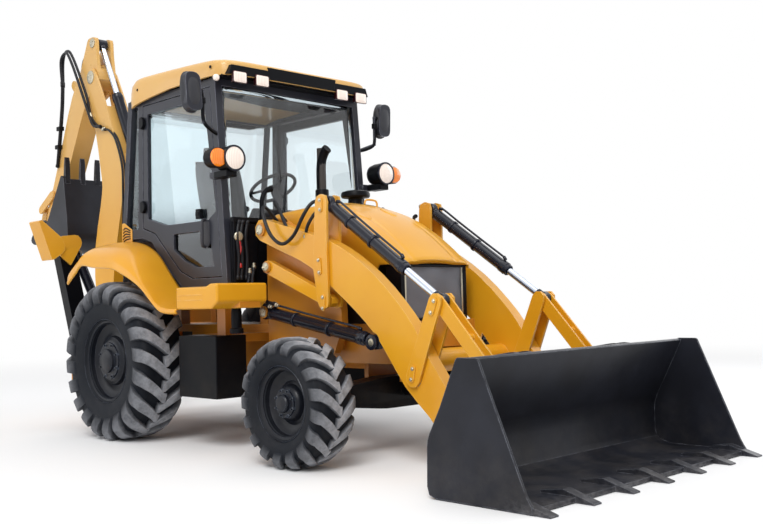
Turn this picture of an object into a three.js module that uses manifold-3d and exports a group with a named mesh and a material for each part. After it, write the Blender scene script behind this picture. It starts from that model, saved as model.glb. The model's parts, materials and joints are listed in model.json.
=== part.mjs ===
// A backhoe loader: front loader on parallel linkage, centre-pivot backhoe stowed behind the cab.
// Millimetres, +X forward, +Y to the machine's left, +Z up. Inside this file X counts from the rear axle;
// the outer group moves the whole machine so that X = 0 is the middle of its length.
import * as THREE from "three";
import { mergeVertices } from "three/addons/utils/BufferGeometryUtils.js";
import Module from "manifold-3d";

const wasm = await Module();
wasm.setup();

// ---- driving dimensions -------------------------------------------------------------------------
const frontReach = 4350; // rear axle to the loader bucket's tooth tips
const rearReach = 3196; // rear axle to the back of the stowed dipper
const wheelBase = 2240;
const rearTyre = { radius: 632, width: 400, centreY: 877, rim: 318, hub: 170 };
const frontTyre = { radius: 420, width: 310, centreY: 945, rim: 226, hub: 105 };
const kingpinY = 745;
const axleShaft = 60; // radius of the rear half shafts
const frontSpindle = 44;
const hubFit = 3; // radial gap between a hub and its shaft

const clearance = 6; // side gap between pieces that move past each other
const pinFit = 1; // radial gap between a pin and the eye that turns on it
const touch = 0.4; // gap kept between pieces that bear on each other

const frame = { halfWidth: 330, plate: 25, bottom: 470, top: 900, front: 2680, rear: -795 };
const arm = { inner: 480, outer: 570 };
const leverPlate = 18;
const bucketWidth = 2320;
const toothHalfSpan = 1120;

const cab = { halfWidth: 735, rear: -262, front: 1222, floor: 1200, eaves: 2770, post: 62, panel: 40 };
const roof = { halfWidth: 775, rear: -150, front: 1262, bottom: cab.eaves + touch, top: 2952 };
const bonnet = { rear: 1300, front: 2620, halfWidth: 352, skirt: 1085, sheet: 14 };

const boomHalf = 125; // half the boom's width
const dipperHalf = 100;
const hoeBucketWidth = 600;

// ---- pivots, as [x, z] in the machine's side plane ------------------------------------------------
const plus = (a, b) => [a[0] + b[0], a[1] + b[1]];
const minus = (a, b) => [a[0] - b[0], a[1] - b[1]];
const size = (a) => Math.hypot(a[0], a[1]);

const armPivot = [1430, 1600];
const linkPivot = [1465, 1325]; // levelling link on the frame
const rearLeverPivot = [2090, 1338];
const linkEnd = plus(rearLeverPivot, minus(linkPivot, armPivot));
const tiltBase = [2120, 1738];
const frontLeverPivot = [2938, 570];
const tiltEnd = [3140, 1048];
const bucketLinkEnd = [3493, 652];
const bucketPivot = plus(bucketLinkEnd, minus(frontLeverPivot, tiltEnd));
const liftBase = [1422, 997];
const liftEnd = [2566, 790];

const swingAxisX = -1380;
const boomFoot = [-1630, 760];
const boomTip = [-1883, 3391];
const dipperTail = [-1883, 3745];
const boomRamBase = [-1420, 1100];
const boomRamEnd = [-1175, 2200];
const dipperRamBase = [-1245, 2500];
const bucketRamBase = [-2350, 3400];
const hoeBucketPivot = [-2900, 1960];
const hoeLinkPin = plus(hoeBucketPivot, [-255, -140]);
const tippingLeverPivot = [-2770, 2276];
const tippingPin = plus(tippingLeverPivot, minus(hoeLinkPin, hoeBucketPivot));

// The stabilisers' pivots are [y, z] in a plane across the machine.
const stabiliserX = -960;
const legPivot = [690, 480];
const legTop = [915, 1590];
const stabRamBase = [830, 1641];
const stabRamEnd = [425, 690];

// The span from a to b on side s, smaller number first.
const span = (s, a, b) => [Math.min(s * a, s * b), Math.max(s * a, s * b)];

// ---- solids ----------------------------------------------------------------------------------------
function solid(geometry) {
  const bare = geometry.clone();
  bare.deleteAttribute("normal");
  bare.deleteAttribute("uv");
  const merged = mergeVertices(bare, 1e-3);
  return new wasm.Manifold(
    new wasm.Mesh({
      numProp: 3,
      vertProperties: merged.attributes.position.array,
      triVerts: new Uint32Array(merged.index.array),
    }),
  );
}

const join = (...solids) => solids.reduce((sum, piece) => sum.add(piece));
const cut = (body, ...tools) => tools.reduce((left, tool) => left.subtract(tool), body);

function box(x0, x1, y0, y1, z0, z1) {
  const geometry = new THREE.BoxGeometry(x1 - x0, y1 - y0, z1 - z0);
  return solid(geometry.translate((x0 + x1) / 2, (y0 + y1) / 2, (z0 + z1) / 2));
}

function shapeOf(points) {
  return new THREE.Shape(points.map(([u, v]) => new THREE.Vector2(u, v)));
}

// A plate whose outline is given in the side plane as [x, z], from y0 to y1.
function plate(points, y0, y1) {
  const depth = Math.abs(y1 - y0);
  const geometry = new THREE.ExtrudeGeometry(shapeOf(points), { depth, bevelEnabled: false, steps: 1 });
  return solid(geometry.rotateX(Math.PI / 2).translate(0, Math.max(y0, y1), 0));
}

// A plate whose outline is given as [y, z] across the machine, from x0 to x1.
function crossPlate(points, x0, x1) {
  const geometry = new THREE.ExtrudeGeometry(shapeOf(points), { depth: x1 - x0, bevelEnabled: false, steps: 1 });
  geometry.applyMatrix4(new THREE.Matrix4().set(0, 0, 1, x0, 1, 0, 0, 0, 0, 1, 0, 0, 0, 0, 0, 1));
  return solid(geometry);
}

// A slab whose outline is given in plan as [x, y], from z0 to z1.
function slab(points, z0, z1) {
  const geometry = new THREE.ExtrudeGeometry(shapeOf(points), { depth: z1 - z0, bevelEnabled: false, steps: 1 });
  return solid(geometry.translate(0, 0, z0));
}

// A solid between two surfaces, each a function of u and v from 0 to 1 that gives [x, y, z].
// Seen against the direction from lower to upper, u runs to the right and v runs up.
function between(upper, lower, columns, rows) {
  const positions = [];
  const indices = [];
  const at = (layer, i, j) => layer * (columns + 1) * (rows + 1) + j * (columns + 1) + i;
  for (const surface of [upper, lower]) {
    for (let j = 0; j <= rows; j++) {
      for (let i = 0; i <= columns; i++) positions.push(...surface(i / columns, j / rows));
    }
  }
  const quad = (a, b, c, d) => indices.push(a, b, c, a, c, d);
  for (let j = 0; j < rows; j++) {
    for (let i = 0; i < columns; i++) {
      quad(at(0, i, j), at(0, i + 1, j), at(0, i + 1, j + 1), at(0, i, j + 1));
      quad(at(1, i, j), at(1, i, j + 1), at(1, i + 1, j + 1), at(1, i + 1, j));
    }
  }
  for (let i = 0; i < columns; i++) {
    quad(at(1, i, 0), at(1, i + 1, 0), at(0, i + 1, 0), at(0, i, 0));
    quad(at(0, i, rows), at(0, i + 1, rows), at(1, i + 1, rows), at(1, i, rows));
  }
  for (let j = 0; j < rows; j++) {
    quad(at(0, 0, j), at(0, 0, j + 1), at(1, 0, j + 1), at(1, 0, j));
    quad(at(1, columns, j), at(1, columns, j + 1), at(0, columns, j + 1), at(0, columns, j));
  }
  const geometry = new THREE.BufferGeometry();
  geometry.setAttribute("position", new THREE.Float32BufferAttribute(positions, 3));
  geometry.setIndex(indices);
  return solid(geometry);
}

// A cylinder along Y. A bore's flats lie on its radius, a pin's corners do, so that pins turn freely.
function pin([x, z], y0, y1, radius, sides = 12) {
  const geometry = new THREE.CylinderGeometry(radius, radius, Math.abs(y1 - y0), sides);
  return solid(geometry.translate(0, (y0 + y1) / 2, 0).rotateY(Math.PI / sides).translate(x, 0, z));
}

function bore(centre, y0, y1, radius, sides = 12) {
  return pin(centre, y0, y1, (radius + pinFit) / Math.cos(Math.PI / sides), sides);
}

// A round bar between two points in space.
function bar(from, to, radius, sides = 12) {
  const start = new THREE.Vector3(...from);
  const along = new THREE.Vector3(...to).sub(start);
  const geometry = new THREE.CylinderGeometry(radius, radius, along.length(), sides);
  geometry.applyQuaternion(
    new THREE.Quaternion().setFromUnitVectors(new THREE.Vector3(0, 1, 0), along.clone().normalize()),
  );
  return solid(geometry.translate(...start.addScaledVector(along, 0.5).toArray()));
}

const towards = (a, b, distance) => {
  const way = minus(b, a);
  return [a[0] + (way[0] * distance) / size(way), a[1] + (way[1] * distance) / size(way)];
};

// Outline of a link: two round ends joined by their tangents.
function linkOutline(a, ra, b, rb, steps = 4) {
  const angle = Math.atan2(b[1] - a[1], b[0] - a[0]);
  const lean = Math.acos((ra - rb) / size(minus(b, a)));
  const points = [];
  for (let i = 0; i <= steps; i++) {
    const t = angle + lean + ((2 * Math.PI - 2 * lean) * i) / steps;
    points.push([a[0] + ra * Math.cos(t), a[1] + ra * Math.sin(t)]);
  }
  for (let i = 0; i <= steps; i++) {
    const t = angle - lean + (2 * lean * i) / steps;
    points.push([b[0] + rb * Math.cos(t), b[1] + rb * Math.sin(t)]);
  }
  return points;
}

// Outline of a beam: a smooth curve through its stations [x, z, half depth], with round ends.
function beamOutline(stations, steps = 4) {
  const centre = new THREE.CatmullRomCurve3(stations.map(([x, z, half]) => new THREE.Vector3(x, z, half)));
  const count = (stations.length - 1) * steps;
  const upper = [];
  const lower = [];
  for (let i = 0; i <= count; i++) {
    const p = centre.getPoint(i / count);
    const t = centre.getTangent(i / count);
    const across = [-t.y / Math.hypot(t.x, t.y), t.x / Math.hypot(t.x, t.y)];
    upper.push([p.x + across[0] * p.z, p.y + across[1] * p.z]);
    lower.push([p.x - across[0] * p.z, p.y - across[1] * p.z]);
  }
  const cap = (centrePoint, from, turn) =>
    [1, 2, 3].map((i) => {
      const spin = (turn * Math.PI * i) / 4;
      const [dx, dz] = minus(from, centrePoint);
      return [
        centrePoint[0] + dx * Math.cos(spin) - dz * Math.sin(spin),
        centrePoint[1] + dx * Math.sin(spin) + dz * Math.cos(spin),
      ];
    });
  const first = stations[0];
  const last = stations[stations.length - 1];
  return [
    ...lower,
    ...cap([last[0], last[1]], lower[count], 1),
    ...upper.reverse(),
    ...cap([first[0], first[1]], upper[count], 1),
  ];
}

// Outline with its corners cut by arcs: each point is [u, v, radius].
function roundedOutline(points, steps = 2) {
  return points.flatMap(([u, v, radius = 0], i) => {
    if (!radius) return [[u, v]];
    const before = points[(i + points.length - 1) % points.length];
    const after = points[(i + 1) % points.length];
    const cutBack = Math.min(radius, 0.45 * size(minus(before, [u, v])), 0.45 * size(minus(after, [u, v])));
    const start = towards([u, v], before, cutBack);
    const end = towards([u, v], after, cutBack);
    return Array.from({ length: steps + 1 }, (_, k) => {
      const t = k / steps;
      return [
        start[0] * (1 - t) ** 2 + 2 * u * t * (1 - t) + end[0] * t ** 2,
        start[1] * (1 - t) ** 2 + 2 * v * t * (1 - t) + end[1] * t ** 2,
      ];
    });
  });
}

// ---- finishes --------------------------------------------------------------------------------------
const finish = (color, roughness, metalness) => new THREE.MeshStandardMaterial({ color, roughness, metalness });
const yellowPaint = () => finish(0xe0a526, 0.38, 0.0);
const blackPaint = () => finish(0x23242a, 0.42, 0.0);
const greyPaint = () => finish(0x4a4852, 0.4, 0.0);
const chrome = () => finish(0xc8ccd2, 0.12, 1.0);
const zincPlate = () => finish(0xb4b4ac, 0.35, 0.9);
const tyreRubber = () => finish(0x23262b, 0.85, 0.0);
const bucketSteel = () => finish(0x26272d, 0.45, 0.3);
const castIron = () => finish(0x55504c, 0.6, 0.6);

// ---- the tree of bodies ----------------------------------------------------------------------------
const machine = new THREE.Group();
machine.position.x = (rearReach - frontReach) / 2;
const origin = machine.position;

// A body's group stands at its pivot, so that its meshes turn about their own origin.
function body(name, parent, x, y, z) {
  const group = new THREE.Group();
  group.name = name;
  const parentPlace = new THREE.Vector3();
  parent.updateWorldMatrix(true, false);
  parentPlace.setFromMatrixPosition(parent.matrixWorld).sub(origin);
  group.position.set(x - parentPlace.x, y - parentPlace.y, z - parentPlace.z);
  parent.add(group);
  return group;
}

function piece(name, group, shape, material) {
  const place = new THREE.Vector3();
  group.updateWorldMatrix(true, false);
  place.setFromMatrixPosition(group.matrixWorld).sub(origin);
  const { numProp, vertProperties, triVerts } = shape.getMesh();
  const positions = new Float32Array((vertProperties.length / numProp) * 3);
  for (let i = 0; i < positions.length / 3; i++) {
    positions[3 * i] = vertProperties[numProp * i] - place.x;
    positions[3 * i + 1] = vertProperties[numProp * i + 1] - place.y;
    positions[3 * i + 2] = vertProperties[numProp * i + 2] - place.z;
  }
  const geometry = new THREE.BufferGeometry();
  geometry.setAttribute("position", new THREE.BufferAttribute(positions, 3));
  geometry.setIndex(new THREE.BufferAttribute(triVerts, 1));
  geometry.computeVertexNormals();
  const mesh = new THREE.Mesh(geometry, material);
  mesh.name = name;
  group.add(mesh);
}

const sides = [
  { name: "left", s: 1 },
  { name: "right", s: -1 },
];

// ---- wheels and axles ------------------------------------------------------------------------------
// A wheel is one turned profile: tyre, rim well, dished disc and hub, with its axle's bore.
function wheel(tyre, x, s, boreRadius) {
  const half = tyre.width / 2;
  const facets = 28;
  const fit = 1 / Math.cos(Math.PI / facets);
  const profile = [
    [boreRadius, 40],
    [tyre.hub, 40],
    [tyre.hub + 25, half - 100],
    [tyre.rim - 40, half - 120],
    [tyre.rim - 25, half - 30],
    [tyre.rim + 22, half - 12],
    [tyre.rim + 60, half],
    [tyre.radius * 0.86, half],
    [tyre.radius * fit, half - 35],
    [tyre.radius * fit, 35 - half],
    [tyre.radius * 0.86, -half],
    [tyre.rim + 60, -half],
    [tyre.rim + 22, 12 - half],
    [tyre.rim - 25, 30 - half],
    [tyre.hub + 25, -30],
    [boreRadius, -30],
  ];
  const points = profile.concat([profile[0]]).map(([r, y]) => new THREE.Vector2(r, -y));
  const geometry = new THREE.LatheGeometry(points, facets);
  geometry.rotateY(Math.PI / facets);
  if (s > 0) geometry.rotateZ(Math.PI);
  return solid(geometry.translate(x, s * tyre.centreY, tyre.radius));
}


function rearAxle() {
  const z = rearTyre.radius;
  const shaftEnd = rearTyre.centreY + 20;
  const housing = rearTyre.centreY - rearTyre.width / 2 + 130;
  return join(
    bar([0, -shaftEnd, z], [0, shaftEnd, z], axleShaft, 20),
    bar([0, -housing, z], [0, housing, z], 120, 20),
    bar([0, -210, z], [0, 210, z], 215, 20),
    box(-90, 90, -frame.halfWidth + 60, -frame.halfWidth + 110, z, frame.top - frame.plate - touch),
    box(-90, 90, frame.halfWidth - 110, frame.halfWidth - 60, z, frame.top - frame.plate - touch),
  );
}

function frontAxle() {
  const z = frontTyre.radius;
  const beam = roundedOutline([
    [-560, z - 70, 60], [-200, z - 110, 60], [200, z - 110, 60], [560, z - 70, 60],
    [560, z + 70, 60], [200, z + 110, 60], [-200, z + 110, 60], [-560, z + 70, 60],
  ]);
  const forks = sides.map(({ s }) =>
    join(
      box(wheelBase - 55, wheelBase + 55, ...span(s, 540, 800), z + 85, z + 125),
      box(wheelBase - 55, wheelBase + 55, ...span(s, 540, 800), z - 125, z - 85),
      box(wheelBase - 55, wheelBase + 55, ...span(s, 540, 600), z - 125, z + 125),
    ),
  );
  return join(
    crossPlate(beam, wheelBase - 75, wheelBase + 75),
    ...forks,
    bar([wheelBase - 200, 0, z + 20], [wheelBase + 200, 0, z + 20], 55),
  );
}

function knuckle(s) {
  const z = frontTyre.radius;
  const inner = s * (kingpinY - 60);
  const outer = s * (frontTyre.centreY + 20);
  return join(
    bar([wheelBase, s * kingpinY, z - 85 + touch], [wheelBase, s * kingpinY, z + 85 - touch], 55),
    bar([wheelBase, inner, z], [wheelBase, outer, z], frontSpindle),
    box(wheelBase - 170, wheelBase, Math.min(inner, s * kingpinY), Math.max(inner, s * kingpinY), z - 20, z + 20),
  );
}

// ---- chassis, engine, radiator ---------------------------------------------------------------------
const towerOut = arm.inner - leverPlate - 2 * clearance;
const towerIn = towerOut - 60;
const eyeHalf = 25; // half the width of a cylinder's eye
const armMiddle = (arm.inner + arm.outer) / 2;

// The tower stands on the rail and carries the arm, the levelling link and the lift cylinder.
function tower(s) {
  const outline = roundedOutline([
    [1335, 700], [1335, 1600, 60], [1385, 1690, 60], [1490, 1690, 60], [1800, 1520, 120], [2100, 1250, 100],
    [2160, 900, 100], [2060, 700],
  ]);
  const pinTo = (centre, radius, reach) => pin(centre, s * (towerIn + 1), s * reach, radius);
  const foot = [frame.halfWidth - 1, towerIn + 1].map((y) => s * y);
  return join(
    plate(outline, s * towerIn, s * towerOut),
    box(1380, 2040, Math.min(...foot), Math.max(...foot), 720, frame.top),
    pinTo(armPivot, 36, arm.outer + clearance + 14),
    pin(armPivot, s * (arm.outer + clearance), s * (arm.outer + clearance + 14), 50),
    pin(armPivot, s * (towerOut - 1), s * (arm.inner - clearance), 62),
    pinTo(linkPivot, 28, armMiddle + eyeHalf + clearance + 12),
    pin(linkPivot, s * (armMiddle + eyeHalf + clearance), s * (armMiddle + eyeHalf + clearance + 12), 42),
    pinTo(liftBase, 30, armMiddle + eyeHalf + clearance + 12),
    pin(liftBase, s * (armMiddle + eyeHalf + clearance), s * (armMiddle + eyeHalf + clearance + 12), 44),
  );
}

// Two plates across the machine hold the stabilisers, and two tongues behind them hold the swing post.
const hoePlates = [
  [frame.rear - 40, frame.rear],
  [frame.rear - 330, frame.rear - 290],
];
const tongueHalf = 90;
const kingPin = 45;
const swingZ = [560, 620, 900, 960];

function hoeFrame() {
  const outline = [
    [-765, 400], [765, 400], [765, 560], [620, 760], [520, 1080], [-520, 1080], [-620, 760], [-765, 560],
  ];
  const [front, back] = [frame.rear + 1, frame.rear - 331];
  const tongue = (z0, z1) => box(swingAxisX - tongueHalf, back + 42, -tongueHalf, tongueHalf, z0, z1);
  return join(
    ...hoePlates.map(([x0, x1]) => crossPlate(outline, x0, x1)),
    box(back + 1, front - 1, -340, 340, 400, 440),
    box(back + 1, front - 1, -300, 300, 1040, 1079),
    tongue(swingZ[0], swingZ[1]),
    tongue(swingZ[2], swingZ[3]),
    bar([swingAxisX, 0, swingZ[0] + 1], [swingAxisX, 0, swingZ[3] - 1], kingPin, 20),
    ...sides.flatMap(({ s }) => [
      bar([back, s * legPivot[0], legPivot[1]], [front, s * legPivot[0], legPivot[1]], 35),
      bar([back, s * stabRamEnd[0], stabRamEnd[1]], [stabiliserX - eyeHalf - clearance, s * stabRamEnd[0], stabRamEnd[1]], 28),
      bar([stabiliserX + eyeHalf + clearance, s * stabRamEnd[0], stabRamEnd[1]], [front, s * stabRamEnd[0], stabRamEnd[1]], 28),
    ]),
  );
}

// The sill box under each door, and the tank or step box below it, hang from the rails.
const sill = { rear: 1070, front: 1565, outer: 1075, bottom: 1035, top: 1185 };

function sideBoxes(s) {
  const outline = [
    [sill.rear, s * 700], [sill.front, s * 700], [sill.front, s * 880], [sill.rear + 150, s * sill.outer],
    [sill.rear, s * sill.outer],
  ];
  return join(
    slab(outline, sill.bottom, sill.top),
    box(830, 1300, ...span(s, 640, 900), 385, 832),
    box(900, 1250, ...span(s, frame.halfWidth - 1, 720), 780, 840),
    box(1120, 1220, ...span(s, 701, 760), 820, sill.bottom + 1),
  );
}

function chassis() {
  const { halfWidth, plate: t, bottom, top, front, rear } = frame;
  const railOutline = [
    [rear, bottom + 60], [-200, bottom + 60], [-150, top - 60], [150, top - 60], [200, bottom + 60],
    [wheelBase - 360, bottom + 60], [wheelBase - 300, bottom + 160], [front, bottom + 160], [front, top], [rear, top],
  ];
  const cabMounts = [-160, 1030].flatMap((x) =>
    sides.map(({ s }) => box(x, x + 90, ...span(s, 200, 290), top - 1, cab.floor - touch)),
  );
  const fenderMounts = sides.map(({ s }) =>
    box(-330, -250, ...span(s, 200, 290), top - 1, fenderBar.bottom - touch),
  );
  const axleSaddle = [-195, 155].map((x) => box(wheelBase + x, wheelBase + x + 40, -150, 150, 495 + touch, 700));
  return join(
    plate(railOutline, halfWidth - t, halfWidth),
    plate(railOutline, t - halfWidth, -halfWidth),
    box(rear, rear + 60, -halfWidth, halfWidth, bottom + 60, top),
    box(rear + 1, front - 1, 1 - halfWidth, halfWidth - 1, top - t, top),
    box(2460, front, -halfWidth, halfWidth, 735, 915),
    box(wheelBase - 196, wheelBase + 196, 1 - halfWidth, halfWidth - 1, 660, 700),
    ...axleSaddle,
    ...cabMounts,
    ...fenderMounts,
    hoeFrame(),
    ...sides.flatMap(({ s }) => [tower(s), sideBoxes(s)]),
  );
}

const stack = { x: 1262, y: 178, radius: 36, top: 2290 };

function engineBlock() {
  return join(
    box(1440, 2330, -260, 260, frame.top + touch, 1400),
    bar([stack.x - 10, stack.y, 1350], [1450, stack.y, 1350], stack.radius),
    bar([stack.x, stack.y, 1330], [stack.x, stack.y, stack.top], stack.radius),
  );
}

function radiator() {
  return box(2480, 2590, -frame.halfWidth, frame.halfWidth, 915 + touch, 1300);
}

// ---- bonnet ----------------------------------------------------------------------------------------
// The crest falls towards the front lip, and the sides lie lower than the middle by the crown.
const bonnetCrown = 62;

function bonnetTop(x, y, inset) {
  const { rear, front, halfWidth } = bonnet;
  const along = (x - rear) / (front - rear);
  const crest = 1782 + 18 * Math.sin(Math.PI * along * 1.2) - 425 * Math.max(0, (along - 0.3) / 0.7) ** 1.9;
  return crest - bonnetCrown * (y / halfWidth) ** 2 * (1 - 0.5 * along) - inset;
}

function bonnetSkirt(x) {
  const rise = Math.min(1, Math.max(0, (x - 2330) / 100));
  return bonnet.skirt + (1300 - bonnet.skirt) * rise * rise * (3 - 2 * rise);
}

function bonnetLid() {
  const { rear, front, halfWidth, sheet } = bonnet;
  const shape = (inset, below, behind) => {
    const place = (u, v) => [
      rear - behind + (front - inset - rear + behind) * u,
      (halfWidth - inset) * (2 * v - 1),
    ];
    return between(
      (u, v) => [...place(u, v), bonnetTop(...place(u, v), inset)],
      (u, v) => [...place(u, v), bonnetSkirt(place(u, v)[0]) - below],
      16,
      6,
    );
  };
  const cleaner = [1680, 150];
  return join(
    cut(shape(0, 0, 0), shape(sheet, 80, 40)),
    bar([...cleaner, 1765], [...cleaner, 1865], 62, 20),
    bar([...cleaner, 1850], [...cleaner, 1912], 108, 24),
  );
}

// ---- cab -------------------------------------------------------------------------------------------
const postLean = 115; // the front posts lean back this far at the top
const archTop = cab.floor + 440; // where the side walls stand on the wheel arches
const archInner = 600;

function cabFrame() {
  const { halfWidth, rear, front, floor, eaves, post, panel } = cab;
  const wall = (s) => {
    const side = [
      [rear, archTop - 20], [rear + 130, eaves], [front - postLean, eaves], [front, floor], [640, floor],
      [430, floor + 150], [200, archTop - 60], [60, archTop - 20],
    ];
    const quarter = [
      [rear + 62, archTop + 60], [rear + 165, eaves - post], [25, eaves - post], [0, archTop + 60],
    ];
    return cut(
      plate(side, s * (halfWidth - post), s * halfWidth),
      plate(doorway(0), s * (halfWidth - post - 1), s * (halfWidth + 1)),
      plate(quarter, s * (halfWidth - post - 1), s * (halfWidth + 1)),
    );
  };
  const inside = halfWidth - post;
  const wide = halfWidth - 1;
  const frontOutline = [
    [front - postLean - post, eaves], [front - postLean, eaves], [front, floor], [front - post, floor],
  ];
  const rearOutline = [
    [rear, archTop - 20], [rear + 130, eaves], [rear + 190, eaves], [rear + 60, archTop - 20],
  ];
  const deckEdge = halfWidth - panel - doorGap; // clear of the door's inner face
  const deck = (s) => [...span(s, archInner - 40, deckEdge)];
  return join(
    wall(1),
    wall(-1),
    cut(plate(frontOutline, -wide, wide), box(front - 300, front + 50, -inside, inside, floor + 330, eaves - post)),
    cut(plate(rearOutline, -wide, wide), box(rear - 50, rear + 300, -inside, inside, archTop + 60, eaves - post)),
    box(rear + 20, front - 5, -archInner, archInner, floor, floor + 36),
    box(rear + 20, rear + 56, -archInner, archInner, floor, archTop),
    ...sides.flatMap(({ s }) => [
      box(rear + 20, 560, ...deck(s), archTop - 36, archTop),
      box(rear + 20, 560, ...span(s, archInner - 36, archInner), floor, archTop),
      box(524, 560, ...deck(s), floor + 1, archTop),
      box(525, front - 5, ...deck(s), floor, floor + 36),
    ]),
    ...sides.flatMap(({ s }) => [mirror(s), headlamp(s)]),
  );
}

// A mirror stands out from the front post on a bent arm.
function mirror(s) {
  const { front, halfWidth } = cab;
  const head = roundedOutline(
    [[s * 905, 2475, 50], [s * 1040, 2475, 60], [s * 1052, 2755, 70], [s * 925, 2755, 60]], 4,
  );
  return join(
    bar([front - 112, s * (halfWidth - 30), 2330], [front - 60, s * 880, 2400], 12, 8),
    bar([front - 60, s * 880, 2392], [front - 60, s * 880, 2640], 12, 8),
    bar([front - 60, s * 872, 2632], [front - 60, s * 930, 2632], 12, 8),
    crossPlate(head, front - 95, front - 25),
  );
}

function headlamp(s) {
  const { front, halfWidth } = cab;
  return join(
    box(front - 100, front - 20, ...span(s, halfWidth - 40, halfWidth + 70), 1990, 2040),
    box(front - 100, front + 120, ...span(s, halfWidth + 12, halfWidth + 70), 1990, 2040),
    bar([front + 90, s * (halfWidth + 41), 2030], [front + 90, s * (halfWidth + 41), 2070], 14, 8),
    bar([front + 25, s * (halfWidth + 41), 2118], [front + 165, s * (halfWidth + 41), 2118], 82, 20),
  );
}

// The doorway's outline, drawn in by a gap for the door itself. Its lower rear corner steps up over the fender.
function doorway(gap) {
  const { front, floor, eaves, post } = cab;
  return [
    [70 + gap, archTop + 55 + gap], [92 + gap, eaves - post - gap], [front - postLean - post - gap, eaves - post - gap],
    [front - post - gap, floor + post + gap], [770 + gap, floor + post + gap], [610 + gap, floor + 122 + gap],
    [500 + gap, floor + 215 + gap], [250 + gap, archTop + gap],
  ];
}

function cabRoof() {
  const { halfWidth, rear, front, bottom, top } = roof;
  const side = roundedOutline([
    [rear, bottom, 30], [front, bottom, 30], [front, top - 62, 70], [rear, top, 150],
  ], 5);
  const plan = roundedOutline([
    [rear, -halfWidth, 160], [front, -halfWidth, 110], [front, halfWidth, 110], [rear, halfWidth, 160],
  ], 5);
  const across = roundedOutline([
    [-halfWidth, bottom, 20], [halfWidth, bottom, 20], [halfWidth, top, 110], [-halfWidth, top, 110],
  ], 5);
  return plate(side, -halfWidth, halfWidth)
    .intersect(slab(plan, bottom - 5, top + 5))
    .intersect(crossPlate(across, rear - 5, front + 5));
}

function cabInterior() {
  const base = cab.floor + 36 + touch;
  return join(
    box(150, 520, -210, 210, base, base + 330),
    box(130, 640, -250, 250, base + 329, base + 450),
    box(60, 190, -240, 240, base + 329, base + 960),
    box(519, 960, -120, 120, base, base + 50),
    box(880, 1080, -330, 330, base, base + 560),
    bar([960, 0, base + 540], [840, 0, base + 745], 30),
    bar([832, 0, base + 730], [850, 0, base + 762], 190, 20),
  );
}

// ---- rear fenders ----------------------------------------------------------------------------------
// Each fender slopes from a high edge beside the cab to a lip over the tyre; a crossbar joins the two.
const fenderBar = { bottom: 1470, top: 1505 };
const fenderLip = [
  [-560, 1290], [-422, 1377], [-319, 1438], [-122, 1414], [162, 1393], [313, 1347], [458, 1292], [600, 1222],
  [737, 1122], [843, 1053], [949, 1034], [1069, 1032],
];
const fenderCrest = [
  [-560, 1490], [-440, 1556], [-314, 1592], [-122, 1600], [36, 1583], [186, 1541], [332, 1460], [472, 1326],
  [590, 1215], [720, 1110], [860, 1065], [1069, 1050],
];

function fenders() {
  const sheet = 18;
  const curve = (points) => new THREE.SplineCurve(points.map(([x, z]) => new THREE.Vector2(x, z)));
  const lip = curve(fenderLip);
  const crest = curve(fenderCrest);
  const skin = (s, lower) => (u, v) => {
    // v runs from the left edge of the machine to the right on both sides.
    const out = s > 0 ? 1 - v : v;
    const a = crest.getPoint(u);
    const b = lip.getPoint(u);
    const bulge = Math.sin((Math.PI / 2) * out);
    const drop = 1 - Math.cos((Math.PI / 2) * out);
    const y = 742 + (1084 - 742) * bulge;
    const x = a.x + (b.x - a.x) * out;
    return [x, s * y, a.y + (b.y - a.y) * drop - lower * sheet];
  };
  const side = (s) => between(
    (u, v) => skin(s, 0)(u, 1 - v),
    (u, v) => skin(s, 1)(u, 1 - v),
    22,
    4,
  );
  const bracket = (s) => box(-340, -230, ...span(s, 743, 761), fenderBar.bottom, 1582);
  return join(
    side(1),
    side(-1),
    bracket(1),
    bracket(-1),
    box(-300, -268, -760, 760, fenderBar.bottom, fenderBar.top),
  );
}

// ---- doors -----------------------------------------------------------------------------------------
const doorGap = 6;

function door(s) {
  const { halfWidth, floor, eaves, post, panel, front } = cab;
  const upper = [
    [150, archTop + 130], [160, eaves - 145], [front - postLean - 150, eaves - 145], [front - 130, 1760],
    [990, 1700], [420, 1700],
  ];
  const lower = [
    [520, 1620], [960, 1620], [1010, 1560], [1055, floor + 150], [830, floor + 150], [660, floor + 210], [520, 1500],
  ];
  const y = [s * (halfWidth - panel), s * halfWidth];
  const wide = (points) => plate(points, y[0] - s, y[1] + s);
  return cut(plate(doorway(doorGap), ...y), wide(upper), wide(lower));
}

// ---- loader ----------------------------------------------------------------------------------------
const armStations = [
  [armPivot[0], armPivot[1], 80],
  [1700, 1512, 93],
  [1900, 1448, 101],
  [2110, 1364, 124],
  [2290, 1258, 142],
  [2507, 1109, 148],
  [2697, 942, 146],
  [2820, 800, 149],
  [2960, 600, 138],
  [3140, 405, 112],
  [...bucketPivot, 76],
];
const crossTube = { centre: [2778, 655], radius: 78 };
const pinRadius = { arm: 36, lever: 28, level: 24, bucket: 30, link: 24, tilt: 26 };

const bucketLinkRadius = 44;
const forkInner = [arm.inner - clearance - leverPlate, arm.inner - clearance];
const forkOuter = [arm.outer + clearance, arm.outer + clearance + leverPlate];

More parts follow.
